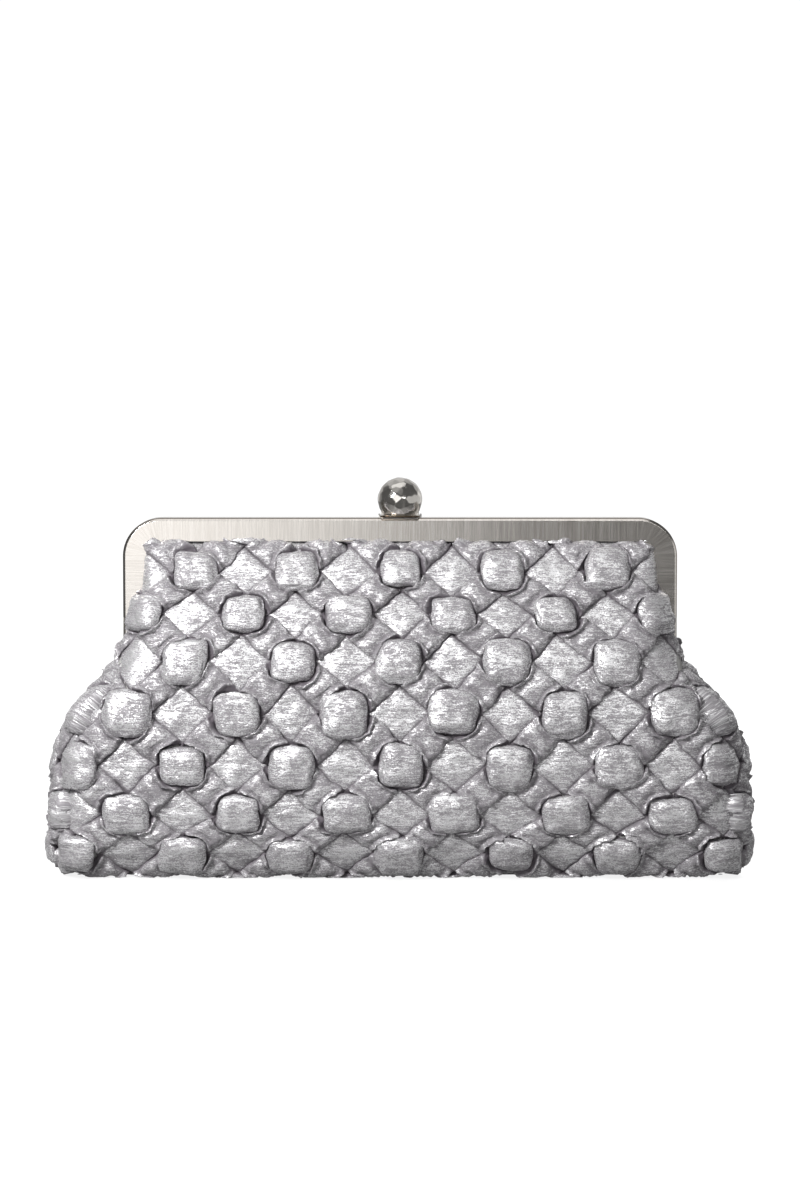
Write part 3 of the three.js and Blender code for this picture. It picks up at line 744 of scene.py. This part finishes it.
def smockedPiece(name, rowOf, columns, rows, turned, seed):
    guide = guideSurface(name + "Guide", rowOf, columns, rows, turned, lattice["relief"])
    given = dict(shapes, Cloth=silverLame, Seed=seed, Relief=lattice["relief"] * mm,
                 Pitch=lattice["pitch"] * mm, Columns=2 * math.ceil(columns), Rows=math.ceil(rows[1]) + 2)
    made = grown(guide, name, smocking, smockingSockets, given)
    print(name, "smocked:", len(made.data.polygons), "faces")
    return made


panels = {}
for name, turned, seed in (("front", False, 3), ("back", True, 8)):
    panels[name] = smockedPiece(name + "_smocked_panel", faceRow, *lattice["face"], turned, seed)
gussets = {}
for name, turned, seed in (("right", False, 5), ("left", True, 6)):
    gussets[name] = smockedPiece(name + "_smocked_gusset", gussetRow, *lattice["gusset"], turned, seed)
removeAll(*shapes.values())


def bendWithFrame(piece, name):  # bakes the piece's placing into its points; the frame half that it picks is not used
    other = "front_frame" if name == "front" else "rear_frame"
    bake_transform(piece)


for name, face in panels.items():
    bendWithFrame(face, name)
    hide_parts(*(f"{name}_panel_{part}" for part in ("lower", "fold", "upper")))
for name, side in gussets.items():
    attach(side, "bag_body")
    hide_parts(f"{name}_gusset")
print("smocking placed")


# the frame: a channel swept up one arm, over the top and down the other

frameShape = {
    "halfWidth": 101.5,
    "top": 131.4,
    "corner": 14.0,
    "armEnd": 87.0,
    "cornerSteps": 28,
    "rounding": 0.2,
    # the channel's section: how far in from the outer edge, and how far from the parting plane
    "section": ((0, 0.2), (0, 5.3), (0.9, 6.2), (8.5, 6.2), (8.5, 5.2), (1.2, 5.2), (1.2, 1.0),
                (6.2, 1.0), (6.2, 0.2)),
    # half width, nearest, farthest and bottom of the pocket that the catch plate lies in
    "recess": (7.0, 1.0, 5.4, 130.8),
    "lugRadius": 4.5,
    "hinge": 82.0,
    "lugWeb": (0.8, 5.6, 95.0),  # nearest, farthest and top of the strip that joins a lug to its arm
    "lugs": {"front": (100.38, 101.42), "rear": (98.0, 99.2)},  # between these distances from the middle
    "brushReach": 5,  # the grain is measured along the middle of the face, this far in from the outer edge
}


def plainObject(name, points, faces, material):
    mesh = bpy.data.meshes.new(name)
    mesh.from_pydata(points, [], faces)
    mesh.materials.append(material)
    return addObject(name, mesh)


def outwards(made):
    edit = bmesh.new()
    edit.from_mesh(made.data)
    bmesh.ops.recalc_face_normals(edit, faces=edit.faces)
    edit.to_mesh(made.data)
    edit.free()


def smoothShaded(made):
    made.data.polygons.foreach_set("use_smooth", [True] * len(made.data.polygons))


def framePath():  # places and inward directions from one arm's end to the other's
    size = frameShape
    middle = size["top"] - size["corner"]
    side = size["halfWidth"] - size["corner"]
    path = [(-size["halfWidth"], size["armEnd"], 1, 0)]
    for centre, first in ((-side, 180), (side, 90)):
        for k in range(size["cornerSteps"] + 1):
            turn = math.radians(first - 90 * k / size["cornerSteps"])
            path.append((centre + size["corner"] * math.cos(turn), middle + size["corner"] * math.sin(turn),
                         -math.cos(turn), -math.sin(turn)))
    return path + [(size["halfWidth"], size["armEnd"], -1, 0)]


def sweptChannel(name, side):
    path = framePath()
    section = frameShape["section"]
    count = len(section)
    points = [((x + dx * n) * mm, side * y * mm, (z + dz * n) * mm)
              for x, z, dx, dz in path for n, y in section]
    reach = frameShape["brushReach"]
    faceMiddle = [(x + dx * reach, z + dz * reach) for x, z, dx, dz in path]
    along = [0.0]
    for (x0, z0), (x1, z1) in zip(faceMiddle, faceMiddle[1:]):
        along.append(along[-1] + math.hypot(x1 - x0, z1 - z0) * mm)
    around = [0.0]
    for (n0, y0), (n1, y1) in zip(section, section[1:] + section[:1]):
        around.append(around[-1] + math.hypot(n1 - n0, y1 - y0) * mm)
    faces = gridFaces(len(path), count, wrap=True)
    coordinates = []
    for j in range(len(path) - 1):
        for i in range(count):
            coordinates += [(along[j], around[i]), (along[j], around[i + 1]),
                            (along[j + 1], around[i + 1]), (along[j + 1], around[i])]
    for j in (0, len(path) - 1):
        faces.append([j * count + i for i in range(count)])
        coordinates += [(along[j], around[i]) for i in range(count)]
    made = plainObject(name, points, faces, frameNickel)
    brush = made.data.uv_layers.new(name="brush")
    for loop, place in zip(brush.data, coordinates):
        loop.uv = place
    outwards(made)
    return made


def lugOutline(side):
    near, far, high = frameShape["lugWeb"]
    radius = frameShape["lugRadius"]
    low = frameShape["hinge"]
    points = [(near, high), (near, low + 6.2), (near - 0.6, low + 4.9)]
    points += [(radius * math.cos(math.radians(a)), low + radius * math.sin(math.radians(a)))
               for a in range(96, 366, 9)]
    points += [(4.9, low + 2.2), (far, low + 4.6), (far, high)]
    return [(side * y, z) for y, z in points]


def lug(name, side, inner, outer):  # the ear below an arm that the hinge rivet goes through
    outline = lugOutline(side)
    count = len(outline)
    points = [(x * mm, y * mm, z * mm) for x in (inner, outer) for y, z in outline]
    faces = [list(range(count)), list(range(count, 2 * count))]
    faces += [(i, (i + 1) % count, count + (i + 1) % count, count + i) for i in range(count)]
    made = plainObject(name, points, faces, frameNickel)
    brush = made.data.uv_layers.new(name="brush")
    for loop in made.data.loops:
        place = made.data.vertices[loop.vertex_index].co
        brush.data[loop.index].uv = (place.z, nickel["onFace"] + abs(place.y) * 0.1)
    outwards(made)
    return made


def joined(name, parts):
    with bpy.context.temp_override(active_object=parts[0], selected_editable_objects=parts):
        bpy.ops.object.join()
    parts[0].name = name
    parts[0].data.name = name
    return parts[0]


def rounded(made, name, width, angle=35, segments=3):
    bevel = made.modifiers.new("rounding", "BEVEL")
    bevel.width = width * mm
    bevel.segments = segments
    bevel.limit_method = "ANGLE"
    bevel.angle_limit = math.radians(angle)
    bevel.harden_normals = True
    smoothShaded(made)
    result = applied(made, name)
    removeAll(made)
    smoothShaded(result)
    return result


def cutRecess(channel, side):
    half, near, far, low = frameShape["recess"]
    ys = sorted((side * near, side * far))
    corners = [(x * mm, y * mm, z * mm) for x in (-half, half) for y in ys for z in (low, low + 3)]
    faces = ((0, 1, 3, 2), (4, 6, 7, 5), (0, 4, 5, 1), (2, 3, 7, 6), (0, 2, 6, 4), (1, 5, 7, 3))
    cutter = plainObject("recessCutter", corners, faces, frameNickel)
    cutter.data.uv_layers.new(name="brush")
    outwards(cutter)
    cut = channel.modifiers.new("recess", "BOOLEAN")
    cut.operation = "DIFFERENCE"
    cut.object = cutter
    result = applied(channel, channel.name)
    removeAll(channel, cutter)
    return result


for name, side in (("front", -1), ("rear", 1)):
    channel = sweptChannel(name + "Channel", side)
    if name == "front":
        channel = cutRecess(channel, side)
    low, high = frameShape["lugs"][name]
    lugs = [lug(name + "Lug", side, low, high), lug(name + "OtherLug", side, -high, -low)]
    parts = joined(name + "HalfParts", [channel] + lugs)
    half = rounded(parts, name + "_nickel_half", frameShape["rounding"])
    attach(half, name + "_frame")
    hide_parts(name + "_frame_half")
print("frame swept")


# the hammered ball

ball = {
    "centre": (0.0, -1.0, 138.05),
    "radius": 8.25,
    "seat": 132.55,  # height of its flat underside
    "hammerMarks": 190,
    "softness": 240,  # more makes sharper edges between the hammer marks
    "markDepth": (0.968, 0.988),  # of the radius
    "markScatter": 0.05,
    "swell": 1.004,  # makes up for what the soft edges between the marks take away
    "fineness": 6,
    "seed": 12,
}


def hammeredBall():
    chance = np.random.default_rng(ball["seed"])
    count = ball["hammerMarks"]
    k = np.arange(count) + 0.5
    polar = np.arccos(1 - 2 * k / count)
    turn = math.pi * (1 + math.sqrt(5)) * k
    marks = np.stack((np.cos(turn) * np.sin(polar), np.sin(turn) * np.sin(polar), np.cos(polar)), 1)
    marks += chance.normal(0, ball["markScatter"], marks.shape)
    marks /= np.linalg.norm(marks, axis=1)[:, None]
    depths = ball["radius"] * chance.uniform(*ball["markDepth"], count)
    edit = bmesh.new()
    bmesh.ops.create_icosphere(edit, subdivisions=ball["fineness"], radius=1)
    mesh = bpy.data.meshes.new("hammeredBall")
    edit.to_mesh(mesh)
    edit.free()
    places = np.array([vertex.co for vertex in mesh.vertices])
    lean = np.clip(places @ marks.T, 0, None) / depths
    power = ball["softness"]
    radius = np.minimum((lean ** power).sum(1) ** (-1 / power) * ball["swell"], ball["radius"])
    places = places * radius[:, None] + np.array(ball["centre"])
    places[:, 2] = np.maximum(places[:, 2], ball["seat"])
    mesh.vertices.foreach_set("co", (places * mm).ravel())
    mesh.materials.append(ballNickel)
    made = addObject("hammered_ball", mesh)
    smoothShaded(made)
    return made


hammered = hammeredBall()
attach(hammered, "latch")
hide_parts("clasp_ball")


# small metal parts: the CAD's shapes with worn, rounded edges

bodyOf = {node: name for name, nodes in frame["record"]["behaviour"]["bodies"].items() for node in nodes}
slotOf = {part["node"]: part["material_slot"] for part in frame["record"]["subparts"]}
metals = {"brushed_frame": frameNickel, "polished_ball": ballNickel, "spring_steel": springSteel}


def refined(node, name, width, segments=3, darkReflectionSides=False):
    mesh = frame["nodes"][node].data.copy()
    edit = bmesh.new()
    edit.from_mesh(mesh)
    bmesh.ops.remove_doubles(edit, verts=edit.verts, dist=0.00001)
    bmesh.ops.dissolve_limit(edit, angle_limit=math.radians(2), verts=edit.verts, edges=edit.edges)
    edit.to_mesh(mesh)
    edit.free()
    mesh.materials.clear()
    mesh.materials.append(metals[slotOf[node]])
    if mesh.uv_layers:
        mesh.uv_layers[0].name = "brush"
    else:
        mesh.uv_layers.new(name="brush")
    brush = mesh.uv_layers[0]
    for face in mesh.polygons:
        # the sides, when asked for, take the painted dark reflection of the frame's edge
        paintedDark = darkReflectionSides and abs(face.normal.z) < 0.6
        for k in face.loop_indices:
            place = mesh.vertices[mesh.loops[k].vertex_index].co
            brush.data[k].uv = (place.x, nickel["onDarkReflection"] if paintedDark else nickel["onFace"] + place.y * 0.1)
    if mesh.has_custom_normals:
        mesh.normals_split_custom_set([(0, 0, 0)] * len(mesh.loops))
    made = rounded(addObject(name + "Source", mesh), name, width, 30, segments)
    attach(made, bodyOf[node])
    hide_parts(node)
    return made


edgeRounding = {
    "rivet": 0.12,
    "washer": 0.08,
    "bracketRivet": 0.10,
    "bracket": 0.18,
    "tongue": 0.16,
    "steel": 0.12,
}
for side in ("left", "right"):
    refined(f"hinge_rivet_{side}", f"{side}_hinge_rivet", edgeRounding["rivet"])
    refined(f"hinge_washer_{side}", f"{side}_hinge_washer", edgeRounding["washer"], 2)
    refined(f"bracket_rivet_{side}", f"{side}_bracket_rivet", edgeRounding["bracketRivet"])
refined("catch_plate", "steel_catch_plate", edgeRounding["steel"])
refined("latch_bracket", "nickel_bracket", edgeRounding["bracket"])
# the tongue's sides take the painted dark reflection
refined("latch_tongue", "nickel_tongue", edgeRounding["tongue"], darkReflectionSides=True)
refined("latch_pin", "steel_latch_pin", edgeRounding["steel"])
refined("ball_stud", "steel_ball_stud", edgeRounding["steel"])
for node, material in (("latch_spring", springSteel), ("base_board", innerBoard),
                       ("front_channel_cord", paperCord), ("rear_channel_cord", paperCord)):
    for slot in frame["nodes"][node].material_slots:
        slot.material = material
smoothShaded(frame["nodes"]["latch_spring"])
print("metal parts finished")


# the linings and the wadding between the layers

inner = {
    "lining": 8.1,  # how far the lining lies inside the outer cloth
    "wadding": 6.0,
    "waddingSpan": (8, 110),  # its lowest and highest levels
    "waddingShare": 0.98,  # of the way from the middle to the side seam
    "waddingRipple": 0.3,
    "waddingThickness": 1.4,
    "cloth": 0.35,
    "floor": 6.2,
    "top": 126.5,
    "gussetTop": 75.0,
    "wrinkle": 2.1,
    "sideWrinkle": 0.6,
    "liningInChannel": 1.6,  # from the parting plane
    "liningInArm": (2.6, 3.3),  # from the parting plane, and past the arm's inside edge
    "armStart": (83, 89),  # heights over which the lining reaches that far
    "besideArm": 1.2,  # where it comes up beside the arm, inward of the arm's inside edge
}


def liningToArm(line, turn, z):  # a level line of the lining that runs on into the arm's channel
    inside = body["armInside"] - inner["besideArm"]
    deep, past = inner["liningInArm"]
    past = 1.0 + (past - 1.0) * smoothStep(z, *inner["armStart"])
    line = [(min(x, inside), y) for x, y in line[:turn + 1]]
    return line + [(inside, -deep - 1.0), (inside + 0.6, -deep), (body["armInside"] + past, -deep)]


def levelLine(z, inset, shares, intoArms):
    # a level line of the front's inside, by shares of its length from the middle
    steps = []
    for toArm in (False, True):
        line, turn = faceLine(z, inset, toArm)
        if toArm and intoArms:
            line = liningToArm(line, turn, z)
            turn = len(line) - 1
        x, y, lengths = measured(line)
        places = np.abs(shares) * (lengths[turn] + (0.0 if toArm else 1.0))
        steps.append((np.interp(places, lengths, x), np.interp(places, lengths, y)))
    share = smoothStep(z, *body["toArm"])
    x, y = [a + (b - a) * share for a, b in zip(*steps)]
    return np.copysign(x, shares), y


def ripple(x, z, seed, amount):  # how far the cloth stands off there: long folds, finer ones near the frame
    gather = smoothStep(z, 60, 112)
    wide = noise.noise(Vector((x / 21, z / 46, seed)))
    fold = noise.noise(Vector((x / 6.5, z / 34, seed + 9)))
    return amount * max(0.5 + wide + fold * (0.25 + 0.75 * gather), 0)


def insidePoints(turned, inset, shares, heights, seed, amount, intoArms):
    side = -1 if turned else 1
    rows = []
    for z in heights:
        x, y = levelLine(z, inset, shares, intoArms)
        free = 1 - smoothStep(z, 117, 122)
        y = y + (1 - free) * (-inner["liningInChannel"] - y) * smoothStep(z, 117, 123.5)
        fromSides = 1 - smoothStep(np.abs(shares), 0.7, 0.9)
        y = y + np.array([ripple(a, z, seed, amount * free) for a in x]) * fromSides
        rows.append(np.stack((x * side, y * side, np.full(len(x), z)), 1))
    return np.array(rows)


def clothGrid(name, rows, material, thickness):  # a plain woven sheet through a grid of points in millimetres
    points = (rows.reshape(-1, 3) * mm).tolist()
    sheet = plainObject(name + "Flat", points, gridFaces(*rows.shape[:2]), material)
    area = sum(face.area for face in sheet.data.polygons)
    thick = sheet.modifiers.new("thickness", "SOLIDIFY")
    thick.thickness = thickness * mm
    thick.offset = 0
    made = applied(sheet, name)
    removeAll(sheet)
    outwards(made)
    smoothShaded(made)
    return made, area


def cutSize(rows, area):  # the size and area of the piece of cloth that a grid of points was cut from
    steps = np.linalg.norm(np.diff(rows, axis=1), axis=2).sum(1) * mm
    lengths = np.linalg.norm(np.diff(rows, axis=0), axis=2).sum(0) * mm
    width, length = float(steps.max()), float(lengths.max())
    return (width, length), min(area, width * length)


def faceLining(name, turned, seed):
    shares = np.linspace(-1, 1, 161)
    heights = np.linspace(inner["floor"], inner["top"], 64)
    rows = insidePoints(turned, inner["lining"], shares, heights, seed, inner["wrinkle"], True)
    lining, area = clothGrid(name + "_satin_lining", rows, liningSatin, inner["cloth"])
    bendWithFrame(lining, name)
    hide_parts(*(f"{name}_lining_{part}" for part in ("lower", "fold", "upper")))
    flat, area = cutSize(rows, area)
    half = "front_nickel_half" if name == "front" else "rear_nickel_half"
    return rows


def faceWadding(name, turned, seed):
    shares = np.linspace(-inner["waddingShare"], inner["waddingShare"], 81)
    heights = np.linspace(*inner["waddingSpan"], 40)
    rows = insidePoints(turned, inner["wadding"], shares, heights, seed, inner["waddingRipple"], False)
    wadding, _ = clothGrid(name + "_wadding", rows, paleWadding, inner["waddingThickness"])
    bendWithFrame(wadding, name)
    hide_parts(name + "_padding")


def sideLining(name, side):
    rows = []
    shares = np.linspace(-1, 1, 41)
    for z in np.linspace(inner["floor"], inner["gussetTop"], 40):
        line, turn = gussetLine(z, inner["lining"])
        x, y, lengths = measured(line)
        px = np.interp(np.abs(shares) * lengths[turn], lengths, x)
        py = np.copysign(np.interp(np.abs(shares) * lengths[turn], lengths, y), shares)
        px = px - smoothStep(z, 66, 78) * 1.5 * (1 - (py / py.max()) ** 2)
        folds = np.array([ripple(b, z, 3.3 + side, inner["sideWrinkle"]) for b in py])
        px = px - folds * (1 - np.abs(shares) ** 8)
        rows.append(np.stack((px * side, py * side, np.full(len(px), z)), 1))
    rows = np.array(rows)
    lining, area = clothGrid(f"{name}_side_lining", rows, liningSatin, inner["cloth"])
    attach(lining, "bag_body")
    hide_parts(f"{name}_gusset_lining")
    flat, area = cutSize(rows, area)


floorCloth = {
    "halfLength": 118,
    "halfWidth": 11.5,
    "height": 5.6,
    "taper": 0.12,  # the ends are narrower by this share
    "wave": 0.25,
}


def floorLining():
    halfLength = floorCloth["halfLength"]
    rows = []
    for y in np.linspace(-floorCloth["halfWidth"], floorCloth["halfWidth"], 15):
        row = []
        for x in np.linspace(-halfLength, halfLength, 101):
            wave = floorCloth["wave"] * noise.noise(Vector((x / 14, y / 7, 5.1)))
            narrow = 1 - floorCloth["taper"] * (x / halfLength) ** 8
            row.append((x, y * narrow, floorCloth["height"] + wave))
        rows.append(row)
    rows = np.array(rows)
    lining, area = clothGrid("floor_lining", rows, liningSatin, inner["cloth"])
    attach(lining, "bag_body")
    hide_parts("base_lining")
    flat, area = cutSize(rows, area)


liningRows = {}
for name, turned, seed in (("front", False, 21.3), ("back", True, 47.9)):
    liningRows[name] = faceLining(name, turned, seed)
    faceWadding(name, turned, seed)
sideLining("right", 1)
sideLining("left", -1)
floorLining()
print("lined")


# the slip pocket, the base and their stitches

pocket = {
    "halfWidth": 59.0,
    "bottom": 24.0,
    "top": 66.0,
    "gap": 0.9,  # from the back lining
    "slack": 1.1,  # how far its mouth hangs open in the middle
    "cloth": 0.4,
    "hem": 7.0,
    "hemStep": 0.25,
    "seam": 1.2,  # from its edge to the row of stitches
    "threadLift": 0.28,
    "stitch": 2.4,  # from one stitch to the next
    "stitchLength": 1.7,
    "threadWidth": 0.34,
}


def backLiningY(x, z, gap):
    half = liningRows["back"]
    row = np.interp(z, half[:, 0, 2], np.arange(len(half)))
    low = int(min(row, len(half) - 2))
    ys = []
    for line in (half[low], half[low + 1]):
        order = np.argsort(line[:, 0])
        ys.append(np.interp(x, line[order, 0], line[order, 1]))
    return ys[0] + (ys[1] - ys[0]) * (row - low) - gap


def pocketPoint(x, z, lift=0.0):
    slack = smoothStep(z, 40, pocket["top"]) * pocket["slack"] * (1 - (x / pocket["halfWidth"]) ** 2)
    hemStart = pocket["top"] - pocket["hem"]
    hem = pocket["hemStep"] * smoothStep(z, hemStart, hemStart + 0.5)
    return (x, backLiningY(x, z, pocket["gap"] + slack + hem + lift), z)


pocketRows = np.array([[pocketPoint(x, z) for x in np.linspace(-pocket["halfWidth"], pocket["halfWidth"], 91)]
                       for z in np.linspace(pocket["bottom"], pocket["top"], 43)])
slipPocket, area = clothGrid("satin_slip_pocket", pocketRows, liningSatin, pocket["cloth"])


def stitchTree():
    sheet, take, sockets = newTree("stitches", (
        ("Seam", "Geometry", None), ("Spacing", "Float", 0.0024), ("Length", "Float", 0.0017),
        ("Width", "Float", 0.0003), ("Thread", "Material", None), ("Seed", "Int", 1),
    ))
    line = sheet.wire("GeometryNodeMeshToCurve", inputs={"Mesh": take["Seam"]})
    spaced = sheet.wire("GeometryNodeResampleCurve", {"mode": "LENGTH"},
                        {"Curve": line, "Length": take["Spacing"]})
    bead = sheet.wire("GeometryNodeMeshUVSphere", inputs={"Segments": 8, "Rings": 6, "Radius": 0.5})
    bead = sheet.wire("GeometryNodeSetShadeSmooth", inputs={"Geometry": bead})
    lean = sheet.wire("FunctionNodeRandomValue", {"data_type": "FLOAT"},
                      {"Min_001": -0.12, "Max_001": 0.12, "Seed": take["Seed"]}, 1)
    along = sheet.wire("GeometryNodeInputTangent")
    facing = sheet.wire("FunctionNodeAlignEulerToVector", {"axis": "X"},
                        {"Vector": along, "Rotation": sheet.join(lean, 0.0, lean)})
    size = sheet.join(take["Length"], take["Width"], take["Width"])
    rowOfThem = sheet.wire("GeometryNodeInstanceOnPoints", inputs={
        "Points": spaced, "Instance": bead, "Rotation": facing, "Scale": size})
    sendOut(sheet, rowOfThem, take["Thread"])
    return sheet.tree, sockets


stitches, stitchSockets = stitchTree()


def stitchRow(name, lines, seed):  # rows of stitches along lines of points in millimetres
    points = []
    edges = []
    for line in lines:
        first = len(points)
        points += [tuple(c * mm for c in point) for point in line]
        edges += [(first + k, first + k + 1) for k in range(len(line) - 1)]
    mesh = bpy.data.meshes.new(name + "Seam")
    mesh.from_pydata(points, edges, [])
    given = dict(Spacing=pocket["stitch"] * mm, Length=pocket["stitchLength"] * mm,
                 Width=pocket["threadWidth"] * mm, Thread=sewingThread, Seed=seed)
    return grown(addObject(name + "Seam", mesh), name, stitches, stitchSockets, given)


def pocketSeams():  # down one side, along the bottom and up the other, and a straight line along the hem
    lift = pocket["threadLift"]
    edgeX = pocket["halfWidth"] - pocket["seam"]
    edgeZ = pocket["bottom"] + pocket["seam"]
    hemZ = pocket["top"] - pocket["hem"] + pocket["seam"]
    sideHeights = np.linspace(pocket["top"] - 0.6, edgeZ, 60)
    across = np.linspace(-edgeX, edgeX, 120)
    outline = [pocketPoint(-edgeX, z, lift) for z in sideHeights]
    outline += [pocketPoint(x, edgeZ, lift) for x in across[1:-1]]
    outline += [pocketPoint(edgeX, z, lift) for z in sideHeights[::-1]]
    return [outline, [pocketPoint(x, hemZ, lift) for x in across]]


pocketStitches = stitchRow("pocket_stitches", pocketSeams(), 4)
flat, area = cutSize(pocketRows, area)
for piece in (slipPocket, pocketStitches):
    bendWithFrame(piece, "back")
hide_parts("slip_pocket")

base = {
    "halfLength": 120.5,
    "halfWidth": 8.8,
    # share of the full width and height of each ring, from underneath to the turned-up edge
    "rings": ((0.55, 0.0), (0.80, 0.0), (0.93, 0.35), (1.0, 1.1), (0.985, 2.4)),
    "seamInset": 2.5,
    "seamHeight": 0.28,
    "seamShare": 0.8,  # of the half width
}


def basePanel():  # the flat strip of cloth under the bag, with its edges turned up
    points = []
    ring = 96
    for share, height in base["rings"]:
        for k in range(ring):
            turn = 2 * math.pi * k / ring
            x = signedPower(math.cos(turn), 0.24) * base["halfLength"] * (1 - (1 - share) * 0.08)
            y = signedPower(math.sin(turn), 0.55) * base["halfWidth"] * share
            lift = 0.12 * (noise.noise(Vector((x / 9, y / 5, 2.2))) + 0.6)
            points.append((x * mm, y * mm, (height + max(lift, 0.02) + 0.05) * mm))
    top = (len(base["rings"]) - 1) * ring
    faces = gridFaces(len(base["rings"]), ring, wrap=True)
    faces += [list(range(ring)), list(range(top, top + ring))]
    made = plainObject("base_cloth", points, faces, silverLame)
    outwards(made)
    cloth = made.data.attributes.new("cloth", "FLOAT_VECTOR", "POINT")
    cloth.data.foreach_set("vector", [c for v in made.data.vertices for c in v.co])
    # the cloth's painted shade, at one even share all over the base
    unshadedShare = made.data.attributes.new("open", "FLOAT", "POINT")
    unshadedShare.data.foreach_set("value", [0.9] * len(made.data.vertices))
    smoothShaded(made)
    return made


baseCloth = basePanel()
seamX = base["halfLength"] - base["seamInset"]
seamY = base["halfWidth"] * base["seamShare"]
seamLines = [[(x, y, base["seamHeight"]) for x in np.linspace(-seamX, seamX, 200)] for y in (-seamY, seamY)]
baseStitches = stitchRow("base_stitches", seamLines, 9)
for piece in (baseCloth, baseStitches):
    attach(piece, "bag_body")
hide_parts("base_panel")
print("pocket and base sewn")


# studio

room = {
    "floorReach": 0.9,
    "lens": 98,
    "camera": (0, -1.2, 0.186),
    "lookAt": (0, 0, 0.101),
    # name, place, size, power and the place that it shines at
    "lamps": (
        ("keySoftbox", (-0.36, -0.50, 0.42), (0.20, 0.20), 6.0, (-0.02, 0, 0.04)),
        ("topSoftbox", (0.0, -0.10, 1.0), (0.8, 0.5), 0.8, (0, 0, 0.07)),
        ("fillCard", (0.40, -1.30, 0.55), (0.5, 0.5), 2.6, (0, 0, 0.07)),
    ),
    "glow": {"room": 0.11, "leftWall": 1.4, "rightCard": 0.5, "ceiling": 0.35, "backWall": 0.55},
    "backdrop": 1.05,
}


def studio():
    scene = bpy.context.scene
    scene.view_settings.view_transform = "Standard"
    world = bpy.data.worlds.new("studio")
    world.use_nodes = True
    scene.world = world
    tree = world.node_tree
    sheet = NodeSheet(tree)
    background = tree.nodes["Background"]
    direction = sheet.wire("ShaderNodeTexCoord", output=0)
    x, y, z = sheet.split(direction)
    low = 1 - sheet.between(z, 0.20, 0.45)
    behind = 1 - sheet.between(y, -0.94, -0.82)
    leftWall = (1 - sheet.between(x, -0.07, 0.035)) * low * behind
    rightCard = sheet.between(x, 0.60, 0.72) * low
    ceiling = sheet.between(z, 0.55, 0.80) * (1 - sheet.between(x, 0.0, 0.4))
    backWall = sheet.between(y, 0.35, 0.85)
    shine = room["glow"]
    glow = (shine["room"] + leftWall * shine["leftWall"] + rightCard * shine["rightCard"]
            + ceiling * shine["ceiling"] + backWall * shine["backWall"])
    toCamera = sheet.wire("ShaderNodeLightPath", output=0)
    strength = toCamera * room["backdrop"] + (1 - toCamera) * glow
    sheet.feed(background.inputs["Strength"], strength)
    background.inputs["Color"].default_value = colour(1, 1, 1)

    def aim(thing, place, target):
        thing.location = place
        thing.rotation_euler = (Vector(target) - Vector(place)).to_track_quat("-Z", "Y").to_euler()

    for name, place, size, power, target in room["lamps"]:
        lamp = bpy.data.lights.new(name, "AREA")
        lamp.shape = "RECTANGLE"
        lamp.size, lamp.size_y = size
        lamp.energy = power
        aim(addObject(name, lamp), place, target)

    def paleSurface(sheet):  # grey only near the bag, and fading to white away from it
        x, y, _ = sheet.split(objectPoint(sheet))
        away = sheet.between(sheet.math("SQRT", x * x * 0.3 + y * y), 0.07, 0.20)
        seen = sheet.wire("ShaderNodeLightPath", output=0)
        nearby = sheet.blendColour(away, colour(0.80, 0.80, 0.80), colour(1, 1, 1))
        return {
            "Base Color": sheet.blendColour(away, colour(0.25, 0.25, 0.25), colour(0.0, 0.0, 0.0)),
            "Emission Color": sheet.blendColour(seen, colour(0.08, 0.08, 0.08), nearby),
        }

    pale = newMaterial("paleFloor", paleSurface, Roughness=0.25, Specular_IOR_Level=0.15,
                       Emission_Strength=room["backdrop"])
    reach = room["floorReach"]
    corners = [(-reach, -reach, 0), (reach, -reach, 0), (reach, reach, 0), (-reach, reach, 0)]
    plainObject("floor", corners, [(0, 1, 2, 3)], pale)

    camera = bpy.data.cameras.new("camera")
    camera.lens = room["lens"]
    scene.camera = addObject("camera", camera)
    aim(scene.camera, room["camera"], room["lookAt"])


studio()
print("studio lit")
